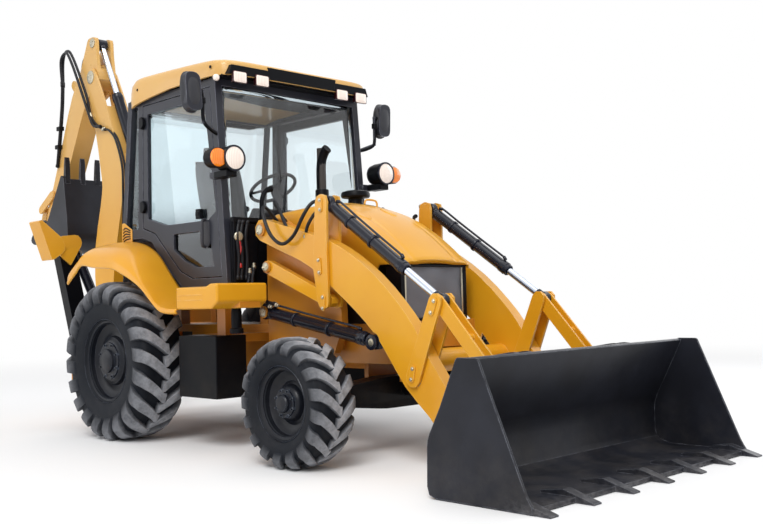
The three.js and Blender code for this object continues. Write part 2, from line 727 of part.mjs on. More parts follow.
function loaderArms() {
  const wide = (s) => [s * (arm.inner - 5), s * (arm.outer + 5)];
  const side = (s) =>
    cut(
      plate(beamOutline(armStations, 2), s * arm.inner, s * arm.outer),
      bore(armPivot, ...wide(s), pinRadius.arm),
      bore(rearLeverPivot, ...wide(s), pinRadius.lever),
      bore(frontLeverPivot, ...wide(s), pinRadius.bucket),
      bore(bucketPivot, ...wide(s), pinRadius.bucket),
      // The lift cylinder's rod end stands in a notch of the arm's lower edge.
      pin(liftEnd, s * (arm.inner + 14), s * (arm.outer + 5), 66, 20),
    );
  const liftLug = (s) => plate(linkOutline(liftEnd, 46, [2600, 950], 60), s * arm.inner, s * (arm.inner + 13));
  return join(
    side(1),
    side(-1),
    pin(crossTube.centre, -arm.inner - 1, arm.inner + 1, crossTube.radius, 20),
    liftLug(1),
    liftLug(-1),
  );
}

// Each rear lever is a fork of two plates over the arm, joined by its three pins.
function rearLever(s) {
  const [e, c, d] = [tiltBase, rearLeverPivot, linkEnd];
  const outline = roundedOutline([
    [e[0] - 58, e[1] + 58, 50], [c[0] - 60, c[1] + 70], [c[0] - 64, c[1] - 60], [d[0] - 50, d[1] - 50, 44],
    [d[0] + 50, d[1] - 50, 44], [c[0] + 76, c[1] + 20], [e[0] + 54, e[1] + 58, 50],
  ]);
  const across = [s * (forkInner[0] + 1), s * (forkOuter[1] - 1)];
  return join(
    plate(outline, ...forkInner.map((y) => s * y)),
    plate(outline, ...forkOuter.map((y) => s * y)),
    pin(e, ...across, pinRadius.lever),
    pin(c, ...across, pinRadius.lever),
    pin(d, ...across, pinRadius.level),
  );
}

function levelLink(s) {
  const y = [s * (armMiddle - eyeHalf), s * (armMiddle + eyeHalf)];
  const wide = [y[0] - s * 5, y[1] + s * 5];
  return cut(
    plate(linkOutline(linkPivot, 50, linkEnd, 43), ...y),
    bore(linkPivot, ...wide, 28),
    bore(linkEnd, ...wide, pinRadius.level),
  );
}

// The washers on the pins of the front levers and the bucket are bodies of their own: they keep the
// parallelogram of lever, link and bucket exact while the arms are raised.
const leverWasherRadius = 56;
const bucketWasherRadius = 74;

function washer(centre, s, radius) {
  return cut(
    pin(centre, s * (arm.outer + touch), s * (forkOuter[0] - touch), radius, 20),
    bore(centre, s * arm.outer, s * forkOuter[0], pinRadius.bucket),
  );
}

function frontLever(s) {
  const outline = linkOutline(frontLeverPivot, 58, tiltEnd, 50);
  return join(
    plate(outline, ...forkInner.map((y) => s * y)),
    plate(outline, ...forkOuter.map((y) => s * y)),
    pin(frontLeverPivot, s * (forkInner[0] + 1), s * (forkOuter[1] - 1), pinRadius.bucket),
  );
}

function topPin(s) {
  return pin(tiltEnd, s * (arm.inner + 1), s * (arm.inner + 13), pinRadius.tilt);
}

// Two side plates, so that the tilt cylinder's rod end stands between them.
function bucketLink(s) {
  const outline = linkOutline(tiltEnd, bucketLinkRadius, bucketLinkEnd, bucketLinkRadius);
  const ears = [
    [arm.inner, arm.inner + 14],
    [arm.outer - 14, arm.outer],
  ];
  const waist = [tiltEnd[0] + 200, tiltEnd[1] - 224];
  const wide = [s * (arm.inner - 5), s * (arm.outer + 5)];
  return cut(
    join(...ears.map((y) => plate(outline, s * y[0], s * y[1])), pin(waist, s * (arm.inner + 1), s * (arm.outer - 1), 24)),
    bore(tiltEnd, ...wide, pinRadius.tilt),
    bore(bucketLinkEnd, ...wide, pinRadius.link),
  );
}

function loaderBucket() {
  const half = bucketWidth / 2;
  const sheet = 16;
  const lip = frontReach - 110;
  const skin = roundedOutline([
    [3796, 754, 12], [3667, 491], [3570, 311, 40], [3560, 6, 60], [lip, 6], [lip, 30], [3700, 32, 90], [3600, 70, 60],
    [3596, 311, 60], [3820, 740, 12],
  ]);
  const cheek = roundedOutline([
    [3790, 754, 12], [3930, 754, 12], [4215, 86, 30], [lip + 8, 34, 8], [lip + 8, 6], [3560, 6, 60], [3570, 311, 40],
    [3667, 491],
  ]);
  const tooth = [[lip - 220, 2], [frontReach, 1], [frontReach, 9], [frontReach - 190, 64], [lip - 220, 44]];
  const bracket = roundedOutline([
    [3640, 445], [3800, 740], [3720, 752, 30], [bucketLinkEnd[0] - 20, bucketLinkEnd[1] + 60, 50],
    [bucketLinkEnd[0] - 62, bucketLinkEnd[1] - 30, 50], [bucketPivot[0] + 90, bucketPivot[1] + 170, 60],
    [bucketPivot[0] - 64, bucketPivot[1] + 50, 60], [bucketPivot[0] - 50, bucketPivot[1] - 70, 60],
    [bucketPivot[0] + 60, bucketPivot[1] - 68], [3585, 30], [3585, 300],
  ]);
  const toothSpacing = toothHalfSpan / 3;
  const brackets = sides.flatMap(({ s }) => [
    plate(bracket, ...forkInner.map((y) => s * y)),
    plate(bracket, ...forkOuter.map((y) => s * y)),
    pin(bucketLinkEnd, s * (forkInner[0] + 1), s * (forkOuter[1] - 1), pinRadius.link),
    pin(bucketPivot, s * (forkInner[0] + 1), s * (forkOuter[1] - 1), pinRadius.bucket),
  ]);
  return join(
    plate(skin, 1 - half, half - 1),
    plate(cheek, half - sheet, half),
    plate(cheek, sheet - half, -half),
    ...[-3, -2, -1, 0, 1, 2, 3].map((k) => plate(tooth, k * toothSpacing - 34, k * toothSpacing + 34)),
    ...brackets,
  );
}

// ---- hydraulic cylinders ---------------------------------------------------------------------------
// A plane turns a point [a, z] and a distance across it into a place in space.
const sidePlane = (y) => (p, w) => [p[0], y + w, p[1]];
const crossPlane = (x, s) => (p, w) => [x + w, s * p[0], p[1]];

// The barrel turns on its base pin, and the rod ends in an eye that holds its own pin. `shortest` is the
// distance between the two pins when the cylinder is shut.
function cylinder({ plane, base, end, shortest, tube, rod, basePin, baseEye, rodEye, half = eyeHalf }) {
  const eyeAt = (centre, radius) => bar(plane(centre, -half), plane(centre, half), radius);
  const round = 1 / Math.cos(Math.PI / 12);
  const pinHole = bar(plane(base, -half - 5), plane(base, half + 5), (basePin + pinFit) * round);
  const along = (from, distance) => plane(towards(from, from === base ? end : base, distance), 0);
  const barrelEnd = shortest - rodEye - 30;
  const gland = 45;
  return {
    barrel: cut(
      join(
        eyeAt(base, baseEye),
        bar(along(base, baseEye - 6), along(base, barrelEnd - gland + 1), tube),
        bar(along(base, barrelEnd - gland), along(base, barrelEnd), tube - 5),
      ),
      bar(along(base, baseEye + 40), along(base, barrelEnd + 20), (rod + pinFit) * round),
      pinHole,
    ),
    rod: join(eyeAt(end, rodEye), bar(along(end, rodEye * 0.6), along(end, shortest - baseEye - 60), rod)),
  };
}

const rams = {
  lift: (s) => ({
    plane: sidePlane(s * armMiddle), base: liftBase, end: liftEnd, shortest: 1150,
    tube: 45, rod: 28, basePin: 30, baseEye: 56, rodEye: 50, half: eyeHalf,
  }),
  tilt: (s) => ({
    plane: sidePlane(s * armMiddle), base: tiltBase, end: tiltEnd, shortest: 955,
    tube: 42, rod: 26, basePin: pinRadius.lever, baseEye: 52, rodEye: 46, half: eyeHalf,
  }),
  boom: {
    plane: sidePlane(0), base: boomRamBase, end: boomRamEnd, shortest: 1105,
    tube: 55, rod: 30, basePin: 32, baseEye: 58, rodEye: 52, half: 50,
  },
  dipper: {
    plane: sidePlane(0), base: dipperRamBase, end: dipperTail, shortest: 845,
    tube: 52, rod: 30, basePin: 30, baseEye: 54, rodEye: 50, half: 48,
  },
  hoeBucket: {
    plane: sidePlane(0), base: bucketRamBase, end: tippingPin, shortest: 890,
    tube: 42, rod: 26, basePin: 26, baseEye: 48, rodEye: 44, half: 36,
  },
  stabiliser: (s) => ({
    plane: crossPlane(stabiliserX, s), base: stabRamBase, end: stabRamEnd, shortest: 1020,
    tube: 44, rod: 24, basePin: 26, baseEye: 48, rodEye: 44, half: eyeHalf,
  }),
};

// ---- backhoe ---------------------------------------------------------------------------------------
const postInner = boomHalf + clearance;
const postOuter = postInner + 30;
const hoePin = { foot: 40, tip: 36, bucket: 30, lever: 26 };

function swingPost() {
  const bodyRear = swingAxisX - 195;
  const cheek = roundedOutline([
    [swingAxisX - 125, 625], [boomFoot[0] - 20, boomFoot[1] - 110, 60], [boomFoot[0] - 95, boomFoot[1], 60],
    [boomFoot[0] - 60, boomFoot[1] + 110, 60], [boomRamBase[0] - 90, boomRamBase[1] + 60, 40],
    [boomRamBase[0] + 66, boomRamBase[1] + 60, 50], [boomRamBase[0] + 66, 985], [swingAxisX - 125, 985],
  ]);
  const height = [swingZ[1] + touch, swingZ[2] - touch];
  const round = 1 / Math.cos(Math.PI / 20);
  return join(
    ...sides.map(({ s }) => plate(cheek, s * postInner, s * postOuter)),
    cut(
      join(
        bar([swingAxisX, 0, height[0]], [swingAxisX, 0, height[1]], 85, 20),
        box(bodyRear + 70, swingAxisX - 30, -postInner - 1, postInner + 1, height[0], height[1]),
      ),
      bar([swingAxisX, 0, height[0] - 5], [swingAxisX, 0, height[1] + 5], (kingPin + pinFit) * round, 20),
    ),
    pin(boomFoot, -postInner - 1, postInner + 1, hoePin.foot),
    pin(boomRamBase, -postInner - 1, postInner + 1, rams.boom.basePin),
  );
}

const boomStations = [
  [...boomFoot, 100],
  [-1668, 1150, 158],
  [-1650, 1590, 198],
  [-1530, 2020, 196],
  [-1485, 2260, 196],
  [-1545, 2520, 180],
  [-1640, 2800, 150],
  [-1745, 3080, 125],
  [...boomTip, 95],
];
const headRadius = 440; // the boom is a fork over this distance from its tip

// Two lugs hold a cylinder's end between them.
function lugs(centre, root, ram, radius) {
  const gap = ram.tube + clearance;
  return sides.map(({ s }) => plate(linkOutline(centre, radius, root, radius + 25), s * gap, s * (gap + 22)));
}

function boom() {
  const full = [-boomHalf - 5, boomHalf + 5];
  const lugOuter = rams.dipper.tube + clearance + 21;
  return join(
    cut(
      plate(beamOutline(boomStations, 2), -boomHalf, boomHalf),
      bore(boomFoot, ...full, hoePin.foot),
      bore(boomTip, ...full, hoePin.tip),
      pin(boomTip, -dipperHalf - clearance, dipperHalf + clearance, headRadius, 32),
    ),
    ...lugs(boomRamEnd, [-1400, 2200], rams.boom, 54),
    ...lugs(dipperRamBase, [-1420, 2460], rams.dipper, 54),
    pin(dipperRamBase, -lugOuter, lugOuter, rams.dipper.basePin),
  );
}

const dipperStations = [
  [-1975, 3440, 150],
  [-2200, 3180, 150],
  [-2470, 2680, 125],
  [-2690, 2300, 100],
  [...hoeBucketPivot, 62],
];

function dipper() {
  const plateIn = dipperHalf - 36;
  const tail = roundedOutline([
    [dipperTail[0] - 95, dipperTail[1] + 60, 30], [dipperTail[0] + 62, dipperTail[1] + 60, 50],
    [dipperTail[0] + 72, dipperTail[1] - 120], [boomTip[0] + 112, boomTip[1] - 20, 60],
    [boomTip[0] + 60, boomTip[1] - 130, 60], [-2100, 3160], [-2250, 3300], [-2150, 3480],
  ]);
  const lugOuter = rams.hoeBucket.tube + clearance + 21;
  const boss = (centre, radius) => pin(centre, -dipperHalf, dipperHalf, radius);
  return join(
    cut(
      join(
        plate(beamOutline(dipperStations, 3), -dipperHalf, dipperHalf),
        ...sides.map(({ s }) => plate(tail, s * plateIn, s * dipperHalf)),
        boss(tippingLeverPivot, 62),
        boss(boomTip, 120),
      ),
      // Room for the dipper cylinder's rod between the tail plates.
      pin(dipperTail, -plateIn, plateIn, 215, 24),
    ),
    pin(boomTip, -boomHalf + 1, boomHalf - 1, hoePin.tip),
    ...lugs(bucketRamBase, [-2210, 3290], rams.hoeBucket, 46),
    pin(bucketRamBase, -lugOuter, lugOuter, rams.hoeBucket.basePin),
    pin(tippingLeverPivot, -dipperHalf - 25, dipperHalf + 25, hoePin.lever),
    pin(hoeBucketPivot, -dipperHalf - 40, dipperHalf + 40, hoePin.bucket),
  );
}

const leverY = [dipperHalf + clearance, dipperHalf + clearance + 18];

function tippingLever() {
  const outline = linkOutline(tippingLeverPivot, 46, tippingPin, 42);
  return join(
    ...sides.map(({ s }) =>
      cut(plate(outline, s * leverY[0], s * leverY[1]), bore(tippingLeverPivot, s * (leverY[0] - 5), s * (leverY[1] + 5), hoePin.lever)),
    ),
    ...sides.map(({ s }) => pin(tippingPin, s * (rams.hoeBucket.half + clearance), s * (leverY[0] + 1), hoePin.lever)),
    // A tie between the plates, behind the pin.
    pin(towards(tippingLeverPivot, tippingPin, 136), -leverY[0] - 1, leverY[0] + 1, 16),
  );
}

function tippingLink() {
  const inner = rams.hoeBucket.half + 2 * clearance;
  const outline = linkOutline(tippingPin, 46, hoeLinkPin, 44);
  const wide = [inner - 5, inner + 30];
  return join(
    ...sides.map(({ s }) =>
      cut(
        plate(outline, s * inner, s * (inner + 22)),
        bore(tippingPin, s * wide[0], s * wide[1], hoePin.lever),
        bore(hoeLinkPin, s * wide[0], s * wide[1], hoePin.lever),
      ),
    ),
    pin(towards(tippingPin, hoeLinkPin, 190), -inner - 1, inner + 1, 26),
  );
}

function hoeBucket() {
  const half = hoeBucketWidth / 2;
  const sheet = 20;
  const skin = roundedOutline([
    [-2560, 1880], [-2530, 1690, 90], [-2289, 1593, 150], [-2076, 1760, 150], [-2076, 1900, 60], [-2150, 2380],
    [-2176, 2380], [-2100, 1900, 60], [-2102, 1775, 140], [-2289, 1620, 140], [-2508, 1706, 80], [-2534, 1880],
  ], 3);
  const cheek = roundedOutline([
    [-2560, 1890, 20], [-2530, 1690, 90], [-2289, 1593, 150], [-2076, 1760, 150], [-2076, 1900, 60], [-2150, 2380],
    [-2200, 2420, 20],
  ], 3);
  const p = hoeBucketPivot;
  const q = hoeLinkPin;
  const ear = roundedOutline([
    [-2400, 1650], [p[0] + 60, p[1] - 210, 120], [q[0] + 20, q[1] - 58, 50], [q[0] - 55, q[1] - 10, 50],
    [q[0] + 5, q[1] + 62, 50], [p[0] - 30, p[1] + 66, 50], [p[0] + 75, p[1] + 40, 60], [-2540, 1840],
  ]);
  const earIn = leverY[1] + clearance;
  const tooth = [[-2196, 2330], [-2140, 2330], [-2150, 2560], [-2162, 2600], [-2172, 2560]];
  return join(
    plate(skin, 1 - half, half - 1),
    ...sides.map(({ s }) => plate(cheek, s * (half - sheet), s * half)),
    ...sides.map(({ s }) =>
      cut(plate(ear, s * earIn, s * (earIn + 24)), bore(p, s * (earIn - 5), s * (earIn + 30), hoePin.bucket)),
    ),
    pin(q, -earIn - 1, earIn + 1, hoePin.lever),
    ...[-0.42, -0.14, 0.14, 0.42].map((k) => plate(tooth, k * hoeBucketWidth - 26, k * hoeBucketWidth + 26)),
  );
}

// ---- stabilisers -----------------------------------------------------------------------------------
function stabiliserLeg(s) {
  const half = 58;
  const inner = half - 20;
  const flip = (points) => points.map(([y, z]) => [s * y, z]);
  const leg = linkOutline(legPivot, 78, legTop, 74);
  const knuckle = roundedOutline([
    [982, 1520, 50], [1037, 1610, 50], [992, 1690, 50], [807, 1710, 50], [767, 1636, 50], [812, 1560, 50], [882, 1440],
  ]);
  const pad = roundedOutline([
    [1042, 1490, 10], [1064, 1478, 10], [1182, 1815, 10], [1156, 1826, 10], [952, 1660, 60], [937, 1560, 60],
  ]);
  const [x0, x1] = [stabiliserX - half, stabiliserX + half];
  const round = 1 / Math.cos(Math.PI / 12);
  return join(
    cut(
      join(
        crossPlate(flip(leg), x0, x1),
        crossPlate(flip(knuckle), x0 - 22, x0 + 1),
        crossPlate(flip(knuckle), x1 - 1, x1 + 22),
        crossPlate(flip(pad), stabiliserX - 95, stabiliserX + 95),
      ),
      // The cylinder's barrel swings in a slot on the leg's inner side.
      crossPlate(flip([[552, 1740], [552, 900], [722, 900], [888, 1560], [888, 1740]]), stabiliserX - 55, stabiliserX + 55),
      bar([x0 - 5, s * legPivot[0], legPivot[1]], [x1 + 5, s * legPivot[0], legPivot[1]], (35 + pinFit) * round),
    ),
    bar([x0 - 21, s * stabRamBase[0], stabRamBase[1]], [x1 + 21, s * stabRamBase[0], stabRamBase[1]], 26),
  );
}

// ---- assembly --------------------------------------------------------------------------------------
const fixedPieces = [
  ["chassis", chassis, yellowPaint],
  ["engine_block", engineBlock, castIron],
  ["radiator", radiator, blackPaint],
  ["rear_axle", rearAxle, blackPaint],
  ["front_axle", frontAxle, blackPaint],
  ["cab_frame", cabFrame, greyPaint],
  ["cab_roof", cabRoof, yellowPaint],
  ["cab_interior", cabInterior, blackPaint],
  ["rear_fenders", fenders, yellowPaint],
];
for (const [name, make, paint] of fixedPieces) piece(name, machine, make(), paint());

piece("bonnet", body("bonnet_hinge", machine, bonnet.front - 20, 0, 1290), bonnetLid(), yellowPaint());

const at = ([x, z]) => [x, 0, z];
const arms = body("loader_arms_pivot", machine, ...at(armPivot));
const rearLevers = body("rear_lever_pivot", arms, ...at(rearLeverPivot));
const levelLinks = body("levelling_link_pivot", machine, ...at(linkPivot));
const leverWashers = body("lever_washer_pivot", arms, ...at(frontLeverPivot));
const frontLevers = body("front_lever_pivot", leverWashers, ...at(frontLeverPivot));
const topPins = body("top_pin_pivot", frontLevers, ...at(tiltEnd));
const bucketLinks = body("bucket_link_pivot", topPins, ...at(tiltEnd));
const bucketWashers = body("bucket_washer_pivot", arms, ...at(bucketPivot));
const bucket = body("loader_bucket_pivot", bucketWashers, ...at(bucketPivot));
const tiltBarrels = body("tilt_barrel_pivot", rearLevers, ...at(tiltBase));
const tiltRods = body("tilt_rod_slide", tiltBarrels, ...at(tiltBase));
const liftBarrels = body("lift_barrel_pivot", machine, ...at(liftBase));
const liftRods = body("lift_rod_slide", liftBarrels, ...at(liftBase));

piece("loader_arms", arms, loaderArms(), yellowPaint());
piece("loader_bucket", bucket, loaderBucket(), bucketSteel());

for (const { name, s } of sides) {
  const rear = body("rear_wheel_axle_" + name, machine, 0, s * rearTyre.centreY, rearTyre.radius);
  piece("rear_wheel_" + name, rear, wheel(rearTyre, 0, s, axleShaft + hubFit), tyreRubber());
  const steered = body("kingpin_" + name, machine, wheelBase, s * kingpinY, frontTyre.radius);
  piece("steering_knuckle_" + name, steered, knuckle(s), blackPaint());
  const front = body("front_wheel_axle_" + name, steered, wheelBase, s * frontTyre.centreY, frontTyre.radius);
  piece("front_wheel_" + name, front, wheel(frontTyre, wheelBase, s, frontSpindle + hubFit), tyreRubber());
  piece("door_" + name, body("door_hinge_" + name, machine, 76, s * cab.halfWidth, 1900), door(s), greyPaint());

  piece("rear_lever_" + name, rearLevers, rearLever(s), yellowPaint());
  piece("levelling_link_" + name, levelLinks, levelLink(s), yellowPaint());
  piece("lever_washer_" + name, leverWashers, washer(frontLeverPivot, s, leverWasherRadius), zincPlate());
  piece("front_lever_" + name, frontLevers, frontLever(s), yellowPaint());
  piece("top_pin_" + name, topPins, topPin(s), zincPlate());
  piece("bucket_link_" + name, bucketLinks, bucketLink(s), yellowPaint());
  piece("bucket_washer_" + name, bucketWashers, washer(bucketPivot, s, bucketWasherRadius), zincPlate());
  const lift = cylinder(rams.lift(s));
  piece("lift_barrel_" + name, liftBarrels, lift.barrel, blackPaint());
  piece("lift_rod_" + name, liftRods, lift.rod, chrome());
  const tilt = cylinder(rams.tilt(s));
  piece("tilt_barrel_" + name, tiltBarrels, tilt.barrel, blackPaint());
  piece("tilt_rod_" + name, tiltRods, tilt.rod, chrome());

  const leg = body("stabiliser_pivot_" + name, machine, stabiliserX, s * legPivot[0], legPivot[1]);
  piece("stabiliser_leg_" + name, leg, stabiliserLeg(s), greyPaint());
  const legRam = cylinder(rams.stabiliser(s));
  const legBarrel = body("stabiliser_barrel_pivot_" + name, leg, stabiliserX, s * stabRamBase[0], stabRamBase[1]);
  piece("stabiliser_barrel_" + name, legBarrel, legRam.barrel, blackPaint());
  piece("stabiliser_rod_" + name, body("stabiliser_rod_slide_" + name, legBarrel, stabiliserX, s * stabRamBase[0], stabRamBase[1]), legRam.rod, chrome());
}

const post = body("swing_post_pivot", machine, swingAxisX, 0, boomFoot[1]);
const boomBody = body("boom_pivot", post, ...at(boomFoot));
const dipperBody = body("dipper_pivot", boomBody, ...at(boomTip));
const lever = body("tipping_lever_pivot", dipperBody, ...at(tippingLeverPivot));
const link = body("tipping_link_pivot", lever, ...at(tippingPin));
const scoop = body("hoe_bucket_pivot", dipperBody, ...at(hoeBucketPivot));
piece("swing_post", post, swingPost(), yellowPaint());
piece("boom", boomBody, boom(), yellowPaint());
piece("dipper", dipperBody, dipper(), yellowPaint());
piece("tipping_lever", lever, tippingLever(), yellowPaint());
piece("tipping_link", link, tippingLink(), yellowPaint());
piece("hoe_bucket", scoop, hoeBucket(), bucketSteel());
for (const [name, parent, ram] of [["boom", post, rams.boom], ["dipper", boomBody, rams.dipper], ["hoe_bucket", dipperBody, rams.hoeBucket]]) {
  const barrel = body(name + "_barrel_pivot", parent, ...at(ram.base));
  const rod = body(name + "_rod_slide", barrel, ...at(ram.base));
  const made = cylinder(ram);
  piece(name + "_barrel", barrel, made.barrel, blackPaint());
  piece(name + "_rod", rod, made.rod, chrome());
}

export default machine;
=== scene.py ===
import json
import math
import bmesh
import bpy
import numpy as np
from mathutils import Matrix


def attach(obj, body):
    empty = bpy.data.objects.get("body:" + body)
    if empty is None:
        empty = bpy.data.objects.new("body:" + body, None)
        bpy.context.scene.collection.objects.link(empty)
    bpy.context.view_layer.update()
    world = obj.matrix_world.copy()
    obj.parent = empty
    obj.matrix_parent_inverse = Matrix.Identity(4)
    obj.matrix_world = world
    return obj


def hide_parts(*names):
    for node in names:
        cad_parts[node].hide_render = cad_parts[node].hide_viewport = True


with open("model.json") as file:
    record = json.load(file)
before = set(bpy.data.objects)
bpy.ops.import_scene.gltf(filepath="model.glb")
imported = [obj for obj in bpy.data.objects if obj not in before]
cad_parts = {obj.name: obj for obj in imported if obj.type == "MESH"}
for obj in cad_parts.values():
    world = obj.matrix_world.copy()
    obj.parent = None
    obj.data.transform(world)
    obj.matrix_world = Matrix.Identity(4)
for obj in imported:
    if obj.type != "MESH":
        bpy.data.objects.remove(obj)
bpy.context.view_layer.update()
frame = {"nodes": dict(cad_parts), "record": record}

nodes = frame["nodes"]
bodyOfNode = {n: b for b, members in frame["record"]["behaviour"]["bodies"].items() for n in members}
slotOfNode = {s["node"]: s["material_slot"] for s in frame["record"]["subparts"]}

# Shapes below are in millimetres: x forward from the rear axle, y to the left, z up from the ground.
rearAxleX = -577.0  # where the rear axle lies on the frame's own x, mm
sides = {"left": 1.0, "right": -1.0}
mergeDistance = 0.00002  # corners closer than this are one corner, metres

# Camera, light and floor.
cameraLook = {"place": (7146.2, -5024.6, 1059.3), "yaw": -44.851, "pitch": 2.244, "roll": -1.464,
              "focal": 982.0, "imageWidth": 763.0, "sensor": 36.0}
lightLook = {"skyStrength": 1.0, "ambient": 0.60, "sun": 1.35, "sunAngle": 24.0,
             "keyPower": 230.0, "fillPower": 90.0, "topPower": 170.0, "rimPower": 90.0,
             "floorColor": (0.90, 0.90, 0.905, 1.0), "fadeStart": 5.0, "fadeEnd": 15.0, "floorHalf": 60.0}


# Millimetres from the rear axle to metres in the frame: (p + (rearAxleX, 0, 0)) / 1000.
def toFrame(points):
    return (np.asarray(points, float) + np.array([rearAxleX, 0.0, 0.0])) / 1000.0


# Forward is (-cos yaw cos pitch, -sin yaw cos pitch, sin pitch); right and up are turned by the roll.
def aimCamera(look):
    yaw, pitch, roll = (math.radians(look[k]) for k in ("yaw", "pitch", "roll"))
    forward = np.array([-math.cos(yaw) * math.cos(pitch), -math.sin(yaw) * math.cos(pitch), math.sin(pitch)])
    right = np.cross(forward, [0, 0, 1.0])
    right /= np.linalg.norm(right)
    up = np.cross(right, forward)
    turnedRight = math.cos(roll) * right + math.sin(roll) * up
    turnedUp = math.cos(roll) * up - math.sin(roll) * right
    matrix = np.eye(4)
    matrix[:3, 0], matrix[:3, 1], matrix[:3, 2] = turnedRight, turnedUp, -forward
    matrix[:3, 3] = toFrame(look["place"])
    data = bpy.data.cameras.new("camera")
    data.sensor_width = look["sensor"]
    data.lens = look["focal"] / look["imageWidth"] * look["sensor"]
    camera = bpy.data.objects.new("camera", data)
    camera.matrix_world = Matrix(matrix.tolist())
    bpy.context.scene.collection.objects.link(camera)
    bpy.context.scene.camera = camera


# A rectangular lamp at place whose back is turned away from target.
def areaLight(name, place, target, size, power, color=(1, 1, 1)):
    data = bpy.data.lights.new(name, "AREA")
    data.shape, data.size, data.size_y = "RECTANGLE", size[0], size[1]
    data.energy, data.color = power, color
    light = bpy.data.objects.new(name, data)
    direction = np.array(target, float) - np.array(place, float)
    back = -direction / np.linalg.norm(direction)
    side = np.cross([0, 0, 1.0], back)
    side /= np.linalg.norm(side)
    matrix = np.eye(4)
    matrix[:3, 0], matrix[:3, 1], matrix[:3, 2], matrix[:3, 3] = side, np.cross(back, side), back, place
    light.matrix_world = Matrix(matrix.tolist())
    bpy.context.scene.collection.objects.link(light)


# White wherever the camera, gloss or glass looks past the machine; a sky band and lamps light it.
def studio(look):
    scene = bpy.context.scene
    scene.view_settings.view_transform = "Standard"
    world = bpy.data.worlds.new("studio")
    scene.world = world
    world.use_nodes = True
    tree = world.node_tree
    tree.nodes.clear()
    paths = tree.nodes.new("ShaderNodeLightPath")
    seen = tree.nodes.new("ShaderNodeMath")
    seen.operation = "MAXIMUM"
    tree.links.new(paths.outputs["Is Camera Ray"], seen.inputs[0])
    tree.links.new(paths.outputs["Is Transmission Ray"], seen.inputs[1])
    glossed = tree.nodes.new("ShaderNodeMath")
    glossed.operation = "MAXIMUM"
    tree.links.new(seen.outputs[0], glossed.inputs[0])
    tree.links.new(paths.outputs["Is Glossy Ray"], glossed.inputs[1])
    coords = tree.nodes.new("ShaderNodeTexCoord")
    split = tree.nodes.new("ShaderNodeSeparateXYZ")
    tree.links.new(coords.outputs["Generated"], split.inputs[0])
    # What lights matt faces: a bright sky over a darker band along the horizon.
    band = tree.nodes.new("ShaderNodeValToRGB")
    band.color_ramp.elements[0].position, band.color_ramp.elements[0].color = 0.0, (0.30, 0.31, 0.34, 1)
    band.color_ramp.elements[1].position, band.color_ramp.elements[1].color = 0.62, (1.0, 1.0, 1.0, 1)
    middle = band.color_ramp.elements.new(0.14)
    middle.color = (0.42, 0.45, 0.50, 1)
    tree.links.new(split.outputs["Z"], band.inputs[0])
    ambient = tree.nodes.new("ShaderNodeBackground")
    ambient.inputs["Strength"].default_value = look["ambient"]
    tree.links.new(band.outputs[0], ambient.inputs["Color"])
    white = tree.nodes.new("ShaderNodeBackground")
    white.inputs["Color"].default_value = (1, 1, 1, 1)
    white.inputs["Strength"].default_value = look["skyStrength"]
    mix = tree.nodes.new("ShaderNodeMixShader")
    tree.links.new(glossed.outputs[0], mix.inputs[0])
    tree.links.new(ambient.outputs[0], mix.inputs[1])
    tree.links.new(white.outputs[0], mix.inputs[2])
    out = tree.nodes.new("ShaderNodeOutputWorld")
    tree.links.new(mix.outputs[0], out.inputs["Surface"])
    areaLight("keyLight", (6.5, -6.5, 6.5), (0, 0, 1.2), (5.0, 4.0), look["keyPower"], (1.0, 0.98, 0.95))
    areaLight("fillLight", (-5.5, -7.5, 3.5), (0, 0, 1.4), (6.0, 4.0), look["fillPower"], (0.93, 0.96, 1.0))
    areaLight("topLight", (0.3, 0.5, 8.5), (0, 0, 0), (8.0, 6.0), look["topPower"])
    data = bpy.data.lights.new("sun", "SUN")
    data.energy, data.angle = look["sun"], math.radians(look["sunAngle"])
    sun = bpy.data.objects.new("sun", data)
    sun.rotation_euler = (math.radians(38), math.radians(18), math.radians(12))
    bpy.context.scene.collection.objects.link(sun)
    areaLight("rimLight", (2.0, 8.0, 4.5), (0, 0, 1.5), (6.0, 3.0), look["rimPower"], (0.95, 0.97, 1.0))


# One large flat square at z = 0 that pales to white with distance where the camera sees it.
def layFloor(look):
    mesh = bpy.data.meshes.new("floor")
    far = look["floorHalf"]
    mesh.from_pydata([(-far, -far, 0), (far, -far, 0), (far, far, 0), (-far, far, 0)], [], [(0, 1, 2, 3)])
    floor = bpy.data.objects.new("floor", mesh)
    bpy.context.scene.collection.objects.link(floor)
    material = bpy.data.materials.new("floorPaper")
    material.use_nodes = True
    shader = material.node_tree.nodes["Principled BSDF"]
    shader.inputs["Base Color"].default_value = look["floorColor"]
    shader.inputs["Roughness"].default_value = 0.75
    shader.inputs["Specular IOR Level"].default_value = 0.2
    tree = material.node_tree
    coords = tree.nodes.new("ShaderNodeTexCoord").outputs["Object"]
    distance = tree.nodes.new("ShaderNodeVectorMath")
    distance.operation = "LENGTH"
    tree.links.new(coords, distance.inputs[0])
    fade = tree.nodes.new("ShaderNodeMapRange")
    fade.interpolation_type = "SMOOTHSTEP"
    fade.inputs["From Min"].default_value = look["fadeStart"]
    fade.inputs["From Max"].default_value = look["fadeEnd"]
    tree.links.new(distance.outputs["Value"], fade.inputs["Value"])
    seen = tree.nodes.new("ShaderNodeMath")
    seen.operation = "MULTIPLY"
    tree.links.new(tree.nodes.new("ShaderNodeLightPath").outputs["Is Camera Ray"], seen.inputs[0])
    tree.links.new(fade.outputs["Result"], seen.inputs[1])
    white = tree.nodes.new("ShaderNodeEmission")
    mix = tree.nodes.new("ShaderNodeMixShader")
    tree.links.new(seen.outputs[0], mix.inputs[0])
    tree.links.new(shader.outputs[0], mix.inputs[1])
    tree.links.new(white.outputs[0], mix.inputs[2])
    tree.links.new(mix.outputs[0], tree.nodes["Material Output"].inputs["Surface"])
    mesh.materials.append(material)


